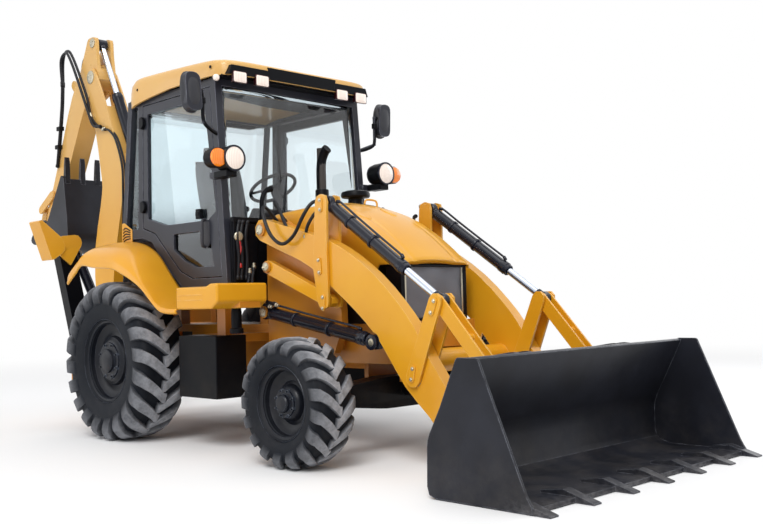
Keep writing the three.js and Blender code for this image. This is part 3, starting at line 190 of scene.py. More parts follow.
aimCamera(cameraLook)
studio(lightLook)
layFloor(lightLook)
print("stage: camera, light and floor")


# Finishes.


# An sRGB colour of 0 to 255 as linear light.
def tone(red, green, blue):
    c = np.array([red, green, blue], float) / 255.0
    linear = np.where(c <= 0.04045, c / 12.92, ((c + 0.055) / 1.055) ** 2.4)
    return (*linear.tolist(), 1.0)


# An empty node group with the given input and output sockets.
def newGroup(name, inputs, outputs):
    group = bpy.data.node_groups.new(name, "ShaderNodeTree")
    for label, kind, value in inputs:
        socket = group.interface.new_socket(label, in_out="INPUT", socket_type=kind)
        socket.default_value = value
    for label, kind in outputs:
        group.interface.new_socket(label, in_out="OUTPUT", socket_type=kind)
    return group, group.nodes.new("NodeGroupInput"), group.nodes.new("NodeGroupOutput")


# operation(first, second), each a number or a socket.
def mathNode(tree, operation, first, second=0.0, clamp=False):
    node = tree.nodes.new("ShaderNodeMath")
    node.operation = operation
    node.use_clamp = clamp
    for socket, value in zip(node.inputs, (first, second)):
        if isinstance(value, (int, float)):
            socket.default_value = value
        else:
            tree.links.new(value, socket)
    return node.outputs[0]


# first (1 - factor) + second factor.
def mixColor(tree, factor, first, second):
    node = tree.nodes.new("ShaderNodeMix")
    node.data_type = "RGBA"
    for socket, value in ((node.inputs[0], factor), (node.inputs[6], first), (node.inputs[7], second)):
        if isinstance(value, (int, float, tuple)):
            socket.default_value = value
        else:
            tree.links.new(value, socket)
    return node.outputs[2]


# Cloud noise from 0 to 1 at the given scale.
def noiseNode(tree, coords, scale, detail=3.0, roughness=0.55):
    node = tree.nodes.new("ShaderNodeTexNoise")
    node.inputs["Detail"].default_value = detail
    node.inputs["Roughness"].default_value = roughness
    if isinstance(scale, (int, float)):
        node.inputs["Scale"].default_value = scale
    else:
        tree.links.new(scale, node.inputs["Scale"])
    tree.links.new(coords, node.inputs["Vector"])
    return node.outputs["Fac"]


# A smooth step from 0 at low to 1 at high.
def rampNode(tree, value, low, high):
    node = tree.nodes.new("ShaderNodeMapRange")
    node.interpolation_type = "SMOOTHSTEP"
    for socket, number in ((node.inputs["From Min"], low), (node.inputs["From Max"], high)):
        if isinstance(number, (int, float)):
            socket.default_value = number
        else:
            tree.links.new(number, socket)
    tree.links.new(value, node.inputs["Value"])
    return node.outputs["Result"]


bumpDepth = 0.002  # how far a full bump stands out, metres


# A material with its node tree and its Principled shader.
def newMaterial(name):
    material = bpy.data.materials.new(name)
    material.use_nodes = True
    return material, material.node_tree, material.node_tree.nodes["Principled BSDF"]


# The object's own coordinates, and a node that splits them into X, Y and Z.
def objectPlace(tree):
    coords = tree.nodes.new("ShaderNodeTexCoord").outputs["Object"]
    split = tree.nodes.new("ShaderNodeSeparateXYZ")
    tree.links.new(coords, split.inputs[0])
    return coords, split


# Height turned into a bent normal on the shader.
def addBump(tree, shader, height, strength, depth):
    bump = tree.nodes.new("ShaderNodeBump")
    bump.inputs["Strength"].default_value = strength
    bump.inputs["Distance"].default_value = depth
    tree.links.new(height, bump.inputs["Height"])
    tree.links.new(bump.outputs["Normal"], shader.inputs["Normal"])


# Colour drifts between base and second by slow noise; dust gathers low down and on upward faces by broken
# noise; edges take the edge colour where a rounded normal leaves the true one, partly wear and partly a
# painted highlight; height is fine orange peel.
def buildWeatherGroup():
    color, number = "NodeSocketColor", "NodeSocketFloat"
    group, given, out = newGroup("weather", [
        ("Base", color, (0.5, 0.5, 0.5, 1)), ("Second", color, (0.4, 0.4, 0.4, 1)),
        ("Dust", color, (0.4, 0.36, 0.3, 1)), ("Edge", color, (0.6, 0.6, 0.6, 1)),
        ("Drift Scale", number, 1.2), ("Dust Amount", number, 0.2),
        ("Dust Height", number, 0.9), ("Edge Amount", number, 0.4), ("Roughness", number, 0.35),
        ("Roughness Spread", number, 0.12), ("Grain Scale", number, 90.0)],
        [("Color", color), ("Roughness", number), ("Height", number)])
    coords = group.nodes.new("ShaderNodeTexCoord").outputs["Object"]
    geometry = group.nodes.new("ShaderNodeNewGeometry")
    drift = rampNode(group, noiseNode(group, coords, given.outputs["Drift Scale"], 4.0), 0.32, 0.68)
    painted = mixColor(group, drift, given.outputs["Base"], given.outputs["Second"])
    rounded = group.nodes.new("ShaderNodeBevel")
    rounded.samples = 3
    rounded.inputs["Radius"].default_value = 0.009
    dot = group.nodes.new("ShaderNodeVectorMath")
    dot.operation = "DOT_PRODUCT"
    group.links.new(rounded.outputs[0], dot.inputs[0])
    group.links.new(geometry.outputs["Normal"], dot.inputs[1])
    bend = mathNode(group, "SUBTRACT", 1.0, dot.outputs["Value"])
    broken = rampNode(group, noiseNode(group, coords, 14.0, 4.0), 0.30, 0.62)
    # Edge mark: partly worn paint, partly a painted highlight where light catches the edges.
    edgeWearAndHighlight = mathNode(group, "MULTIPLY", rampNode(group, bend, 0.03, 0.22), broken)
    edgeWearAndHighlight = mathNode(group, "MULTIPLY", edgeWearAndHighlight, given.outputs["Edge Amount"], True)
    edged = mixColor(group, edgeWearAndHighlight, painted, given.outputs["Edge"])
    split = group.nodes.new("ShaderNodeSeparateXYZ")
    group.links.new(coords, split.inputs[0])
    low = mathNode(group, "SUBTRACT", 1.0, rampNode(group, split.outputs["Z"], 0.0,
                                                    given.outputs["Dust Height"]))
    facing = group.nodes.new("ShaderNodeSeparateXYZ")
    group.links.new(geometry.outputs["Normal"], facing.inputs[0])
    ledge = mathNode(group, "MULTIPLY", rampNode(group, facing.outputs["Z"], 0.55, 1.0), 0.35)
    patches = rampNode(group, noiseNode(group, coords, 5.0, 6.0, 0.65), 0.36, 0.72)
    settled = mathNode(group, "MULTIPLY", mathNode(group, "ADD", low, ledge), patches)
    settled = mathNode(group, "MULTIPLY", settled, given.outputs["Dust Amount"], True)
    dusted = mixColor(group, settled, edged, given.outputs["Dust"])
    fine = noiseNode(group, coords, given.outputs["Grain Scale"], 2.0)
    spread = mathNode(group, "MULTIPLY", mathNode(group, "SUBTRACT", noiseNode(group, coords, 9.0, 4.0), 0.5),
                      given.outputs["Roughness Spread"])
    rough = mathNode(group, "ADD", mathNode(group, "ADD", given.outputs["Roughness"], spread),
                     mathNode(group, "MULTIPLY", settled, 0.35), True)
    group.links.new(dusted, out.inputs["Color"])
    group.links.new(rough, out.inputs["Roughness"])
    group.links.new(fine, out.inputs["Height"])
    return group


weather = buildWeatherGroup()


# A Principled surface fed by the weather group; look holds the group's inputs and the shader's own values.
def weathered(name, look, extra=None):
    material, tree, shader = newMaterial(name)
    group = tree.nodes.new("ShaderNodeGroup")
    group.node_tree = weather
    for label, value in look["group"].items():
        group.inputs[label].default_value = value
    color = group.outputs["Color"]
    if extra:
        color = extra(tree, color)
    tree.links.new(color, shader.inputs["Base Color"])
    tree.links.new(group.outputs["Roughness"], shader.inputs["Roughness"])
    addBump(tree, shader, group.outputs["Height"], look["bump"], look.get("bumpDepth", bumpDepth))
    for label, value in look.get("shader", {}).items():
        shader.inputs[label].default_value = value
    return material


shaderSockets = {"metallic": "Metallic", "coat": "Coat Weight", "coatRough": "Coat Roughness",
                 "specular": "Specular IOR Level"}


# One finish: four sRGB colours, dust as (amount, height in m), rough as (value, spread), then the
# shader's own values by their short names.
# The edge colour and its amount make the edge mark, partly wear and partly a painted highlight.
def paintLook(base, second, dustColor, edge, dust, edgeWearAndHighlight, rough, grain, bump, drift=1.2, **gloss):
    colors = {"Base": base, "Second": second, "Dust": dustColor, "Edge": edge}
    group = {label: tone(*color) for label, color in colors.items()}
    group.update({"Dust Amount": dust[0], "Dust Height": dust[1], "Edge Amount": edgeWearAndHighlight,
                  "Roughness": rough[0], "Roughness Spread": rough[1], "Grain Scale": grain,
                  "Drift Scale": drift})
    return {"group": group, "bump": bump, "shader": {shaderSockets[k]: value for k, value in gloss.items()}}


dustTone = (150, 132, 108)
finishLooks = {
    # The yellow paint's pale edge colour is a painted highlight along its edges as well as wear.
    "yellowPaint": paintLook(
        (226, 163, 34), (219, 152, 26), (196, 160, 96), (247, 214, 130),
        dust=(0.22, 0.8), edgeWearAndHighlight=0.75, rough=(0.3, 0.1), grain=160.0, bump=0.035, specular=0.3,
        coat=0.25, coatRough=0.08),
    # A darker, more orange copy of the yellow paint: painted shade for the low chassis; its heavier dust is
    # dirt.
    "yellowPaintedShade": paintLook(
        (205, 135, 38), (188, 116, 28), (150, 105, 60), (235, 185, 90),
        dust=(0.45, 1.1), edgeWearAndHighlight=0.6, rough=(0.4, 0.14), grain=120.0, bump=0.05, coat=0.2,
        coatRough=0.2),
    "greyPaint": paintLook(
        (48, 50, 58), (40, 41, 49), dustTone, (150, 152, 168),
        dust=(0.08, 1.5), edgeWearAndHighlight=0.7, rough=(0.34, 0.12), grain=140.0, bump=0.04, specular=0.25,
        coat=0.05, coatRough=0.15),
    "blackGloss": paintLook(
        (26, 29, 40), (20, 22, 32), dustTone, (86, 92, 112),
        dust=(0.1, 0.8), edgeWearAndHighlight=0.5, rough=(0.22, 0.1), grain=90.0, bump=0.03, specular=0.22, coat=0.12,
        coatRough=0.06),
    "blackSatin": paintLook(
        (15, 16, 20), (11, 12, 16), dustTone, (60, 62, 72),
        dust=(0.04, 1.0), edgeWearAndHighlight=0.5, rough=(0.36, 0.14), grain=110.0, bump=0.05, specular=0.1),
    "chromeRod": paintLook(
        (214, 222, 236), (196, 206, 224), (150, 148, 145), (235, 240, 250),
        dust=(0.05, 0.6), edgeWearAndHighlight=0.2, rough=(0.13, 0.08), grain=260.0, bump=0.01, metallic=1.0),
    "zincPin": paintLook(
        (196, 190, 170), (168, 160, 140), (120, 100, 74), (228, 226, 214),
        dust=(0.3, 1.6), edgeWearAndHighlight=0.4, rough=(0.36, 0.2), grain=70.0, bump=0.06, metallic=0.85),
    "bucketSteel": paintLook(
        (38, 40, 48), (28, 29, 35), (104, 98, 92), (128, 132, 142),
        dust=(0.16, 0.5), edgeWearAndHighlight=0.85, rough=(0.34, 0.2), grain=60.0, bump=0.07, drift=2.2,
        metallic=0.12, specular=0.25),
    "castIron": paintLook(
        (58, 52, 48), (46, 42, 40), (112, 92, 72), (110, 104, 98),
        dust=(0.5, 1.6), edgeWearAndHighlight=0.4, rough=(0.6, 0.2), grain=45.0, bump=0.25),
    "hoseRubber": paintLook(
        (24, 25, 30), (18, 19, 23), (92, 86, 80), (60, 62, 70),
        dust=(0.15, 1.5), edgeWearAndHighlight=0.1, rough=(0.42, 0.15), grain=420.0, bump=0.12, specular=0.25),
    "rimPaint": paintLook(
        (17, 21, 30), (13, 16, 24), (92, 88, 86), (92, 100, 114),
        dust=(0.12, 1.4), edgeWearAndHighlight=0.6, rough=(0.36, 0.16), grain=100.0, bump=0.05, specular=0.22,
        coat=0.05, coatRough=0.2),
    "cabTrim": paintLook(
        (44, 45, 52), (36, 37, 43), (110, 104, 98), (84, 86, 94),
        dust=(0.05, 1.0), edgeWearAndHighlight=0.3, rough=(0.58, 0.12), grain=520.0, bump=0.2),
    "seatVinyl": paintLook(
        (52, 54, 62), (42, 44, 50), (110, 104, 98), (92, 94, 104),
        dust=(0.05, 1.0), edgeWearAndHighlight=0.3, rough=(0.5, 0.1), grain=900.0, bump=0.3),
    "lampShell": paintLook(
        (58, 18, 22), (44, 12, 16), dustTone, (150, 60, 60),
        dust=(0.05, 1.0), edgeWearAndHighlight=0.5, rough=(0.3, 0.1), grain=200.0, bump=0.03, coat=0.5),
    "redPlastic": paintLook(
        (178, 28, 34), (150, 20, 26), dustTone, (226, 96, 96),
        dust=(0.05, 1.0), edgeWearAndHighlight=0.3, rough=(0.3, 0.1), grain=200.0, bump=0.03, coat=0.5),
}


# The bucket's cutting edge is rubbed to bare steel within a hand's width of the ground.
def toothWear(tree, color):
    coords, split = objectPlace(tree)
    near = mathNode(tree, "SUBTRACT", 1.0, rampNode(tree, split.outputs["Z"], 0.0, 0.10))
    front = rampNode(tree, split.outputs["X"], 3.40, 3.72)
    scratched = rampNode(tree, noiseNode(tree, coords, 26.0, 6.0, 0.7), 0.38, 0.7)
    mask = mathNode(tree, "MULTIPLY", mathNode(tree, "MULTIPLY", near, front), scratched)
    return mixColor(tree, mathNode(tree, "MULTIPLY", mask, 0.5), color, tone(120, 118, 120))


# Painted highlight: yellow pales towards sand from the arms' height up to the roof, standing in for the
# bright light on the upper parts.
def upperPaintedHighlight(tree, color):
    coords, split = objectPlace(tree)
    height = rampNode(tree, split.outputs["Z"], 1.25, 2.9)
    cloud = mathNode(tree, "ADD", mathNode(tree, "MULTIPLY", noiseNode(tree, coords, 1.1, 3.0), 0.4), 0.3)
    return mixColor(tree, mathNode(tree, "MULTIPLY", height, cloud), color, tone(212, 182, 130))


# The yellow paint takes the painted highlight high up.
extras = {"bucketSteel": toothWear, "yellowPaint": upperPaintedHighlight}
finishes = {name: weathered(name, look, extras.get(name)) for name, look in finishLooks.items()}


# Dark rubber; the attribute lugFace marks the lugs' tops, which are scuffed to a pale grey in patches.
def tyreRubber():
    # Grey patches on the marked faces, by noise.
    def scuffed(tree, color):
        marked = tree.nodes.new("ShaderNodeAttribute")
        marked.attribute_name = "lugFace"
        coords = tree.nodes.new("ShaderNodeTexCoord").outputs["Object"]
        patch = rampNode(tree, noiseNode(tree, coords, 16.0, 6.0, 0.7), 0.25, 0.70)
        share = mathNode(tree, "ADD", mathNode(tree, "MULTIPLY", patch, 0.55), 0.45)
        mask = mathNode(tree, "MULTIPLY", marked.outputs["Fac"], share)
        return mixColor(tree, mathNode(tree, "MULTIPLY", mask, 0.85), color, tone(176, 178, 184))
    look = {"group": {"Base": tone(17, 21, 29), "Second": tone(13, 17, 24), "Dust": tone(84, 82, 82),
                      "Edge": tone(80, 86, 96), "Dust Amount": 0.12, "Dust Height": 1.3, "Edge Amount": 0.35,
                      "Roughness": 0.62, "Roughness Spread": 0.2, "Grain Scale": 150.0}, "bump": 0.22,
            "bumpDepth": 0.003, "shader": {"Specular IOR Level": 0.18}}
    return weathered("tyreRubber", look, scuffed)


finishes["tyreRubber"] = tyreRubber()


# Glass whose tint goes from low at lowZ to high at highZ, with a slow noise across the change; a dark low
# tint is painted shade of the cab's inside seen through the glass.
def cabGlass(name, high, low, highZ, lowZ):
    material, tree, shader = newMaterial(name)
    coords, split = objectPlace(tree)
    streaks = mathNode(tree, "MULTIPLY", noiseNode(tree, coords, 2.2, 3.0), 0.25)
    height = mathNode(tree, "ADD", rampNode(tree, split.outputs["Z"], lowZ, highZ),
                      mathNode(tree, "SUBTRACT", streaks, 0.12))
    tree.links.new(mixColor(tree, height, low, high), shader.inputs["Base Color"])
    smear = rampNode(tree, noiseNode(tree, coords, 3.5, 5.0), 0.35, 0.75)
    tree.links.new(mathNode(tree, "MULTIPLY", smear, 0.05), shader.inputs["Roughness"])
    shader.inputs["Transmission Weight"].default_value = 1.0
    shader.inputs["IOR"].default_value = 1.45
    return material


# The side glass darkens low down: painted shade of the dim cab inside.
finishes["sideGlass"] = cabGlass("sideGlass", tone(230, 242, 246), tone(84, 94, 104), 1.95, 1.40)
finishes["frontGlass"] = cabGlass("frontGlass", tone(246, 248, 250), tone(252, 253, 253), 2.75, 1.6)


# A ribbed lens lit from inside: wave bands across the lens drive both bump and glow.
def lampLens(name, color, glow, strength):
    material, tree, shader = newMaterial(name)
    coords = tree.nodes.new("ShaderNodeTexCoord").outputs["Object"]
    bands = tree.nodes.new("ShaderNodeTexWave")
    bands.bands_direction = "Y"
    bands.inputs["Scale"].default_value = 22.0
    bands.inputs["Distortion"].default_value = 0.4
    tree.links.new(coords, bands.inputs["Vector"])
    tree.links.new(mixColor(tree, mathNode(tree, "MULTIPLY", bands.outputs["Fac"], 0.35), color, glow),
                   shader.inputs["Base Color"])
    tree.links.new(mixColor(tree, bands.outputs["Fac"], color, glow), shader.inputs["Emission Color"])
    shader.inputs["Emission Strength"].default_value = strength
    shader.inputs["Roughness"].default_value = 0.12
    shader.inputs["Coat Weight"].default_value = 0.8
    addBump(tree, shader, bands.outputs["Fac"], 0.25, bumpDepth)
    return material


finishes["whiteLens"] = lampLens("whiteLens", tone(226, 208, 196), tone(252, 246, 238), 0.28)
finishes["amberLens"] = lampLens("amberLens", tone(226, 108, 8), tone(246, 158, 26), 0.26)


# A square wire mesh: the larger of two sine bands across y and z is wire; the rest is painted dark grey,
# standing for the black radiator and the shade behind the mesh.
def grilleMesh():
    material, tree, shader = newMaterial("grilleMesh")
    coords, split = objectPlace(tree)
    wires = [mathNode(tree, "ABSOLUTE",
                      mathNode(tree, "SINE", mathNode(tree, "MULTIPLY", split.outputs[axis], 520.0)))
             for axis in ("Y", "Z")]
    wire = rampNode(tree, mathNode(tree, "MAXIMUM", wires[0], wires[1]), 0.80, 0.97)
    worn = noiseNode(tree, coords, 7.0, 5.0)
    metal = mixColor(tree, worn, tone(108, 110, 118), tone(160, 162, 170))
    tree.links.new(mixColor(tree, wire, tone(88, 89, 96), metal), shader.inputs["Base Color"])
    tree.links.new(mathNode(tree, "ADD", mathNode(tree, "MULTIPLY", worn, 0.3), 0.3),
                   shader.inputs["Roughness"])
    shader.inputs["Metallic"].default_value = 0.4
    addBump(tree, shader, wire, 0.5, bumpDepth)
    return material


finishes["grilleMesh"] = grilleMesh()
print("stage: finishes")


# Shapes: each is (points, faces) with points in millimetres.


# A grid of points (rows, columns, 3) as quads; caps close the first and last row with one face each.
def gridShape(points, closeRows=False, closeColumns=False, capRows=False):
    rows, columns = points.shape[:2]
    r = np.arange(rows if closeRows else rows - 1)
    c = np.arange(columns if closeColumns else columns - 1)
    i, j = np.meshgrid(r, c, indexing="ij")
    corner = lambda a, b: (a % rows) * columns + (b % columns)
    faces = np.stack([corner(i, j), corner(i, j + 1), corner(i + 1, j + 1), corner(i + 1, j)],
                     -1).reshape(-1, 4).tolist()
    if capRows:
        faces.append(list(range(columns)))
        faces.append(list(range((rows - 1) * columns, rows * columns))[::-1])
    return points.reshape(-1, 3), faces


# Several shapes as one: each one's faces are counted on from the points before it.
def gather(*shapes):
    points, faces, count = [], [], 0
    for shape in shapes:
        points.append(shape[0])
        faces += [[k + count for k in face] for face in shape[1]]
        count += len(shape[0])
    return np.concatenate(points), faces


# Two unit vectors square to a direction and to each other.
def basis(direction):
    d = np.asarray(direction, float) / np.linalg.norm(direction)
    other = np.array([0, 0, 1.0]) if abs(d[2]) < 0.9 else np.array([1.0, 0, 0])
    first = np.cross(d, other)
    first /= np.linalg.norm(first)
    return d, first, np.cross(d, first)


# Points centre + h d + r (cos t e1 + sin t e2) for each (r, h) of the profile; open ends get a cap.
def lathe(profile, centre, direction, segments=40, closed=False):
    d, first, second = basis(direction)
    profile = np.asarray(profile, float)
    t = np.linspace(0, 2 * np.pi, segments, endpoint=False)
    ring = np.cos(t)[:, None] * first + np.sin(t)[:, None] * second
    along = profile[:, 1, None, None] * d
    outward = profile[:, 0, None, None] * ring[None]
    points = np.asarray(centre, float) + along + outward
    return gridShape(points, closeRows=closed, closeColumns=True, capRows=not closed)


# Catmull-Rom curve through the points: cubic in t between each pair, sampled evenly in index.
def spline(points, count=24):
    p = np.asarray(points, float)
    p = np.vstack([2 * p[0] - p[1], p, 2 * p[-1] - p[-2]])
    u = np.linspace(0, len(p) - 3 - 1e-9, count)
    i = u.astype(int)
    t = (u - i)[:, None]
    a, b, c, d = p[i], p[i + 1], p[i + 2], p[i + 3]
    return 0.5 * (2 * b + (c - a) * t + (2 * a - 5 * b + 4 * c - d) * t ** 2
                  + (3 * b - a - 3 * c + d) * t ** 3)


# A round section carried along a path: path + r (cos t n + sin t b), n and b from the path's own best plane.
def tube(path, radius, segments=10):
    path = np.asarray(path, float)
    tangent = np.gradient(path, axis=0)
    tangent /= np.linalg.norm(tangent, axis=1)[:, None]
    flat = path - path.mean(0)
    reference = np.linalg.svd(flat)[2][2] if len(path) > 2 else basis(tangent[0])[1]
    normal = np.cross(tangent, reference)
    normal /= np.linalg.norm(normal, axis=1)[:, None]
    binormal = np.cross(tangent, normal)
    t = np.linspace(0, 2 * np.pi, segments, endpoint=False)
    radius = np.broadcast_to(np.asarray(radius, float), (len(path),))[:, None, None]
    ring = np.cos(t)[None, :, None] * normal[:, None] + np.sin(t)[None, :, None] * binormal[:, None]
    return gridShape(path[:, None] + radius * ring, closeColumns=True, capRows=True)


# An outline given in the two axes left over, in order, and raised from low to high along the named axis.
def plate(outline, axis, low, high):
    outline = np.asarray(outline, float)
    k = "xyz".index(axis)
    flat = np.zeros((2, len(outline), 3))
    flat[:, :, [n for n in range(3) if n != k]] = outline
    flat[0, :, k], flat[1, :, k] = low, high
    return gridShape(flat, closeColumns=True, capRows=True)


# A box from its two limits on each axis.
def block(x0, x1, y0, y1, z0, z1):
    return plate([(x0, y0), (x1, y0), (x1, y1), (x0, y1)], "z", z0, z1)


# A tube along a smooth curve, with a crimped sleeve at each end.
def hose(points, radius=11.0, count=36):
    path = spline(points, count)
    shapes = [tube(path, radius, 10)]
    for a, b in ((path[0], path[1]), (path[-1], path[-2])):
        shapes.append(lathe([(radius + 1.5, -2), (radius + 4, 2), (radius + 4, 26), (radius + 1.5, 30)],
                            a, (b - a), 12))
    return gather(*shapes)


# A hexagon with a washer under it and a low crown.
def boltHead(centre, direction, size=13.0, height=9.0):
    washer = lathe([(size * 1.25, 0), (size * 1.25, 2.5)], centre, direction, 14)
    head = lathe([(size, 2.5), (size, height * 0.85), (size * 0.82, height)], centre, direction, 6)
    return gather(washer, head)


# Corner arcs of a rectangle about the origin, as points [u, v].
def roundedRect(halfU, halfV, radius):
    t = np.linspace(0, np.pi / 2, 5)
    arcs = [np.stack([su * (halfU - radius) + radius * np.cos(t + k * np.pi / 2),
                      sv * (halfV - radius) + radius * np.sin(t + k * np.pi / 2)], -1)
            for k, (su, sv) in enumerate([(1, 1), (-1, 1), (-1, -1), (1, -1)])]
    return np.concatenate(arcs)


# Making pieces.


# A shape as an object at the origin, with doubles merged and faces turned outwards if clean.
def makePiece(name, shape, finish, body, bevel=0.0, angle=34.0, thickness=0.0, clean=True):
    mesh = bpy.data.meshes.new(name)
    mesh.from_pydata(toFrame(shape[0]).tolist(), [], shape[1])
    if clean:
        work = bmesh.new()
        work.from_mesh(mesh)
        bmesh.ops.remove_doubles(work, verts=work.verts, dist=mergeDistance)
        bmesh.ops.recalc_face_normals(work, faces=work.faces)
        work.to_mesh(mesh)
        work.free()
    piece = bpy.data.objects.new(name, mesh)
    bpy.context.scene.collection.objects.link(piece)
    dress(piece, finish, body, bevel, angle, thickness)
    return piece


# Finish, smooth shading, wall and rounded edges in mm, and the body the piece rides on.
def dress(piece, finish, body, bevel, angle, thickness=0.0):
    mesh = piece.data
    mesh.materials.clear()
    mesh.materials.append(finishes[finish])
    mesh.shade_smooth()
    mesh.set_sharp_from_angle(angle=math.radians(angle))
    if thickness:
        wall = piece.modifiers.new("wall", "SOLIDIFY")
        wall.thickness, wall.offset = thickness / 1000, -1.0
    if bevel:
        soft = piece.modifiers.new("edges", "BEVEL")
        soft.width, soft.segments = bevel / 1000, 2
        soft.limit_method, soft.angle_limit = "ANGLE", math.radians(angle + 6)
        soft.harden_normals = True
        soft.use_clamp_overlap = True
    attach(piece, body)


# The solid's own faces, merged and with flat regions rejoined, so that edges can be rounded. Faces whose
# middle is above upper's height in metres take upper's finish.
def finishNode(node, finish, bevel=3.0, upper=None):
    source = nodes[node].data
    work = bmesh.new()
    work.from_mesh(source)
    bmesh.ops.remove_doubles(work, verts=work.verts, dist=mergeDistance)
    bmesh.ops.dissolve_limit(work, angle_limit=math.radians(0.4), verts=work.verts, edges=work.edges)
    mesh = bpy.data.meshes.new(node + "_finished")
    work.to_mesh(mesh)
    work.free()
    piece = bpy.data.objects.new(node + "_finished", mesh)
    bpy.context.scene.collection.objects.link(piece)
    dress(piece, finish, bodyOfNode[node], bevel, solidAngle)
    if upper:
        mesh.materials.append(finishes[upper[0]])
        for face in mesh.polygons:
            face.material_index = int(face.center.z > upper[1])
    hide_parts(node)
    return piece


solidAngle = 30.0  # edges sharper than this stay crisp on the solids, degrees
footPaint = ("yellowPaint", 1.42)  # the folded stabiliser feet: finish, and the height it starts at in metres
finishOfSlot = {"yellow_paint": "yellowPaint", "grey_paint": "greyPaint", "black_paint": "blackSatin",
                "chrome_rod": "chromeRod", "zinc_pin": "zincPin", "bucket_steel": "bucketSteel",
                "tyre_rubber": "tyreRubber", "engine_iron": "castIron", "cab_trim": "cabTrim"}
for name, node in nodes.items():
    finish = finishOfSlot[slotOfNode[name]]
    node.data.materials.clear()
    node.data.materials.append(finishes[finish])

# The chassis takes the darker copy of the yellow paint, a painted shade.
plainNodes = {"chassis": ("yellowPaintedShade", 3.0), "engine_block": ("castIron", 4.0),
              "radiator": ("blackSatin", 4.0), "rear_axle": ("blackSatin", 4.0),
              "front_axle": ("blackSatin", 5.0), "cab_frame": ("greyPaint", 5.0),
              "loader_arms": ("yellowPaint", 3.0), "loader_bucket": ("bucketSteel", 2.5),
              "swing_post": ("yellowPaint", 3.0), "boom": ("yellowPaint", 4.0),
              "dipper": ("yellowPaint", 4.0), "tipping_lever": ("yellowPaint", 2.5),
              "tipping_link": ("yellowPaint", 2.5), "hoe_bucket": ("bucketSteel", 2.5)}
for side in sides:
    plainNodes.update({
        f"door_{side}": ("greyPaint", 4.0), f"rear_lever_{side}": ("yellowPaint", 2.0),
        f"levelling_link_{side}": ("yellowPaint", 2.5), f"front_lever_{side}": ("yellowPaint", 2.0),
        f"bucket_link_{side}": ("yellowPaint", 2.0), f"steering_knuckle_{side}": ("blackSatin", 3.0),
        f"stabiliser_leg_{side}": ("blackSatin", 3.0)})
for node, (finish, bevel) in plainNodes.items():
    finishNode(node, finish, bevel, footPaint if node.startswith("stabiliser_leg") else None)
print("stage: finished solids")

# Tyres and rims.
tyreLooks = {"rear": {"x": 0.0, "y": 877.0, "radius": 632.0, "width": 400.0, "rim": 318.0,
                      "hub": 170.0, "lugs": 20, "lugHeight": 40.0, "lugWidth": 43.0, "lead": 0.25,
                      "nuts": 8, "nutRing": 132.0, "nutSize": 15.0},
             "front": {"x": 2240.0, "y": 945.0, "radius": 420.0, "width": 310.0, "rim": 226.0,
                       "hub": 105.0, "lugs": 17, "lugHeight": 27.0, "lugWidth": 32.0, "lead": 0.28,
                       "nuts": 8, "nutRing": 84.0, "nutSize": 12.0}}


# The tyre's outer section as [radius, y]: near flat crown, round shoulders, sidewall bulged to the bead.
def carcassProfile(look):
    r, half, rim = look["radius"] - look["lugHeight"], look["width"] / 2, look["rim"]
    return spline([(rim - 4, half - 42), (rim + 16, half - 22), (rim + 0.30 * (r - rim), half - 4),
                   (rim + 0.55 * (r - rim), half), (rim + 0.80 * (r - rim), half - 8), (r - 16, half - 34),
                   (r - 3, half - 66), (r, half - 110), (r, 0)], 40)


# Carcass: the section turned about the axle. Lugs: bars laid on it from the crown to the sidewall, their
# heights along the surface normal, their middle line swept back in angle by lead times a smooth rise.
def tyreShape(look, s):
    section = carcassProfile(look)
    full = np.vstack([section, section[-2::-1] * [1, -1]])
    inner = np.array([(look["rim"] - 18, -look["width"] / 2 + 60),
                      (look["rim"] - 18, look["width"] / 2 - 60)])
    profile = np.vstack([full, inner])
    carcass = lathe(profile, (look["x"], s * look["y"], look["radius"]), (0, 1, 0), 96, closed=True)
    # Arc length along the half section, from the crown outwards.
    half = section[::-1]
    step = np.r_[0, np.cumsum(np.linalg.norm(np.diff(half, axis=0), axis=1))]
    reach = step[-1] * 0.66
    t = np.linspace(-0.07, 1, 15)
    arc = t * reach
    radius = np.interp(np.abs(arc), step, half[:, 0])
    across = np.interp(np.abs(arc), step, half[:, 1]) * np.sign(arc + 1e-9)
    slope = np.stack([np.gradient(radius), np.gradient(across)], -1)
    slope /= np.linalg.norm(slope, axis=1)[:, None]
    normal = np.stack([slope[:, 1], -slope[:, 0]], -1)  # [radial, sideways], pointing out
    rise = look["lugHeight"] * np.clip(1.05 - np.clip((t - 0.62) / 0.38, 0, 1) ** 1.6, 0.10, 1)
    sweep = look["lead"] * (np.clip(t, 0, 0.62) / 0.62) ** 0.9 + 0.06 * np.clip((t - 0.62) / 0.38, 0, 1)
    wide = look["lugWidth"] * (0.90 + 0.22 * np.clip(t / 0.7, 0, 1))
    # Across a lug: foot, wall, top, top, wall, foot as shares of width and height.
    share = np.array([(-1.14, -0.25), (-1.0, 0.95), (-0.94, 1.0), (0.0, 1.0), (0.94, 1.0),
                      (1.0, 0.95), (1.14, -0.25)])
    shapes, marks = [carcass], [np.zeros(len(carcass[0]))]
    pitch = 2 * np.pi / look["lugs"]
    for hand in (1, -1):
        for k in range(look["lugs"]):
            angle = (k + (0.5 if hand < 0 else 0.0)) * pitch - sweep[:, None]
            angle = angle + share[None, :, 0] * wide[:, None] / radius[:, None]
            height = share[None, :, 1] * rise[:, None]
            r = radius[:, None] + normal[:, 0, None] * height
            y = hand * (across[:, None] + normal[:, 1, None] * height)
            points = np.stack([look["x"] + r * np.sin(angle), s * look["y"] + y,
                               look["radius"] + r * np.cos(angle)], -1)
            shapes.append(gridShape(points, closeColumns=True, capRows=True))
            marks.append(np.tile((share[:, 1] > 0.9).astype(float),
                                 len(t)) * np.repeat(np.clip(1.5 - 1.5 * t, 0, 1), len(share)))
    return gather(*shapes), np.concatenate(marks)


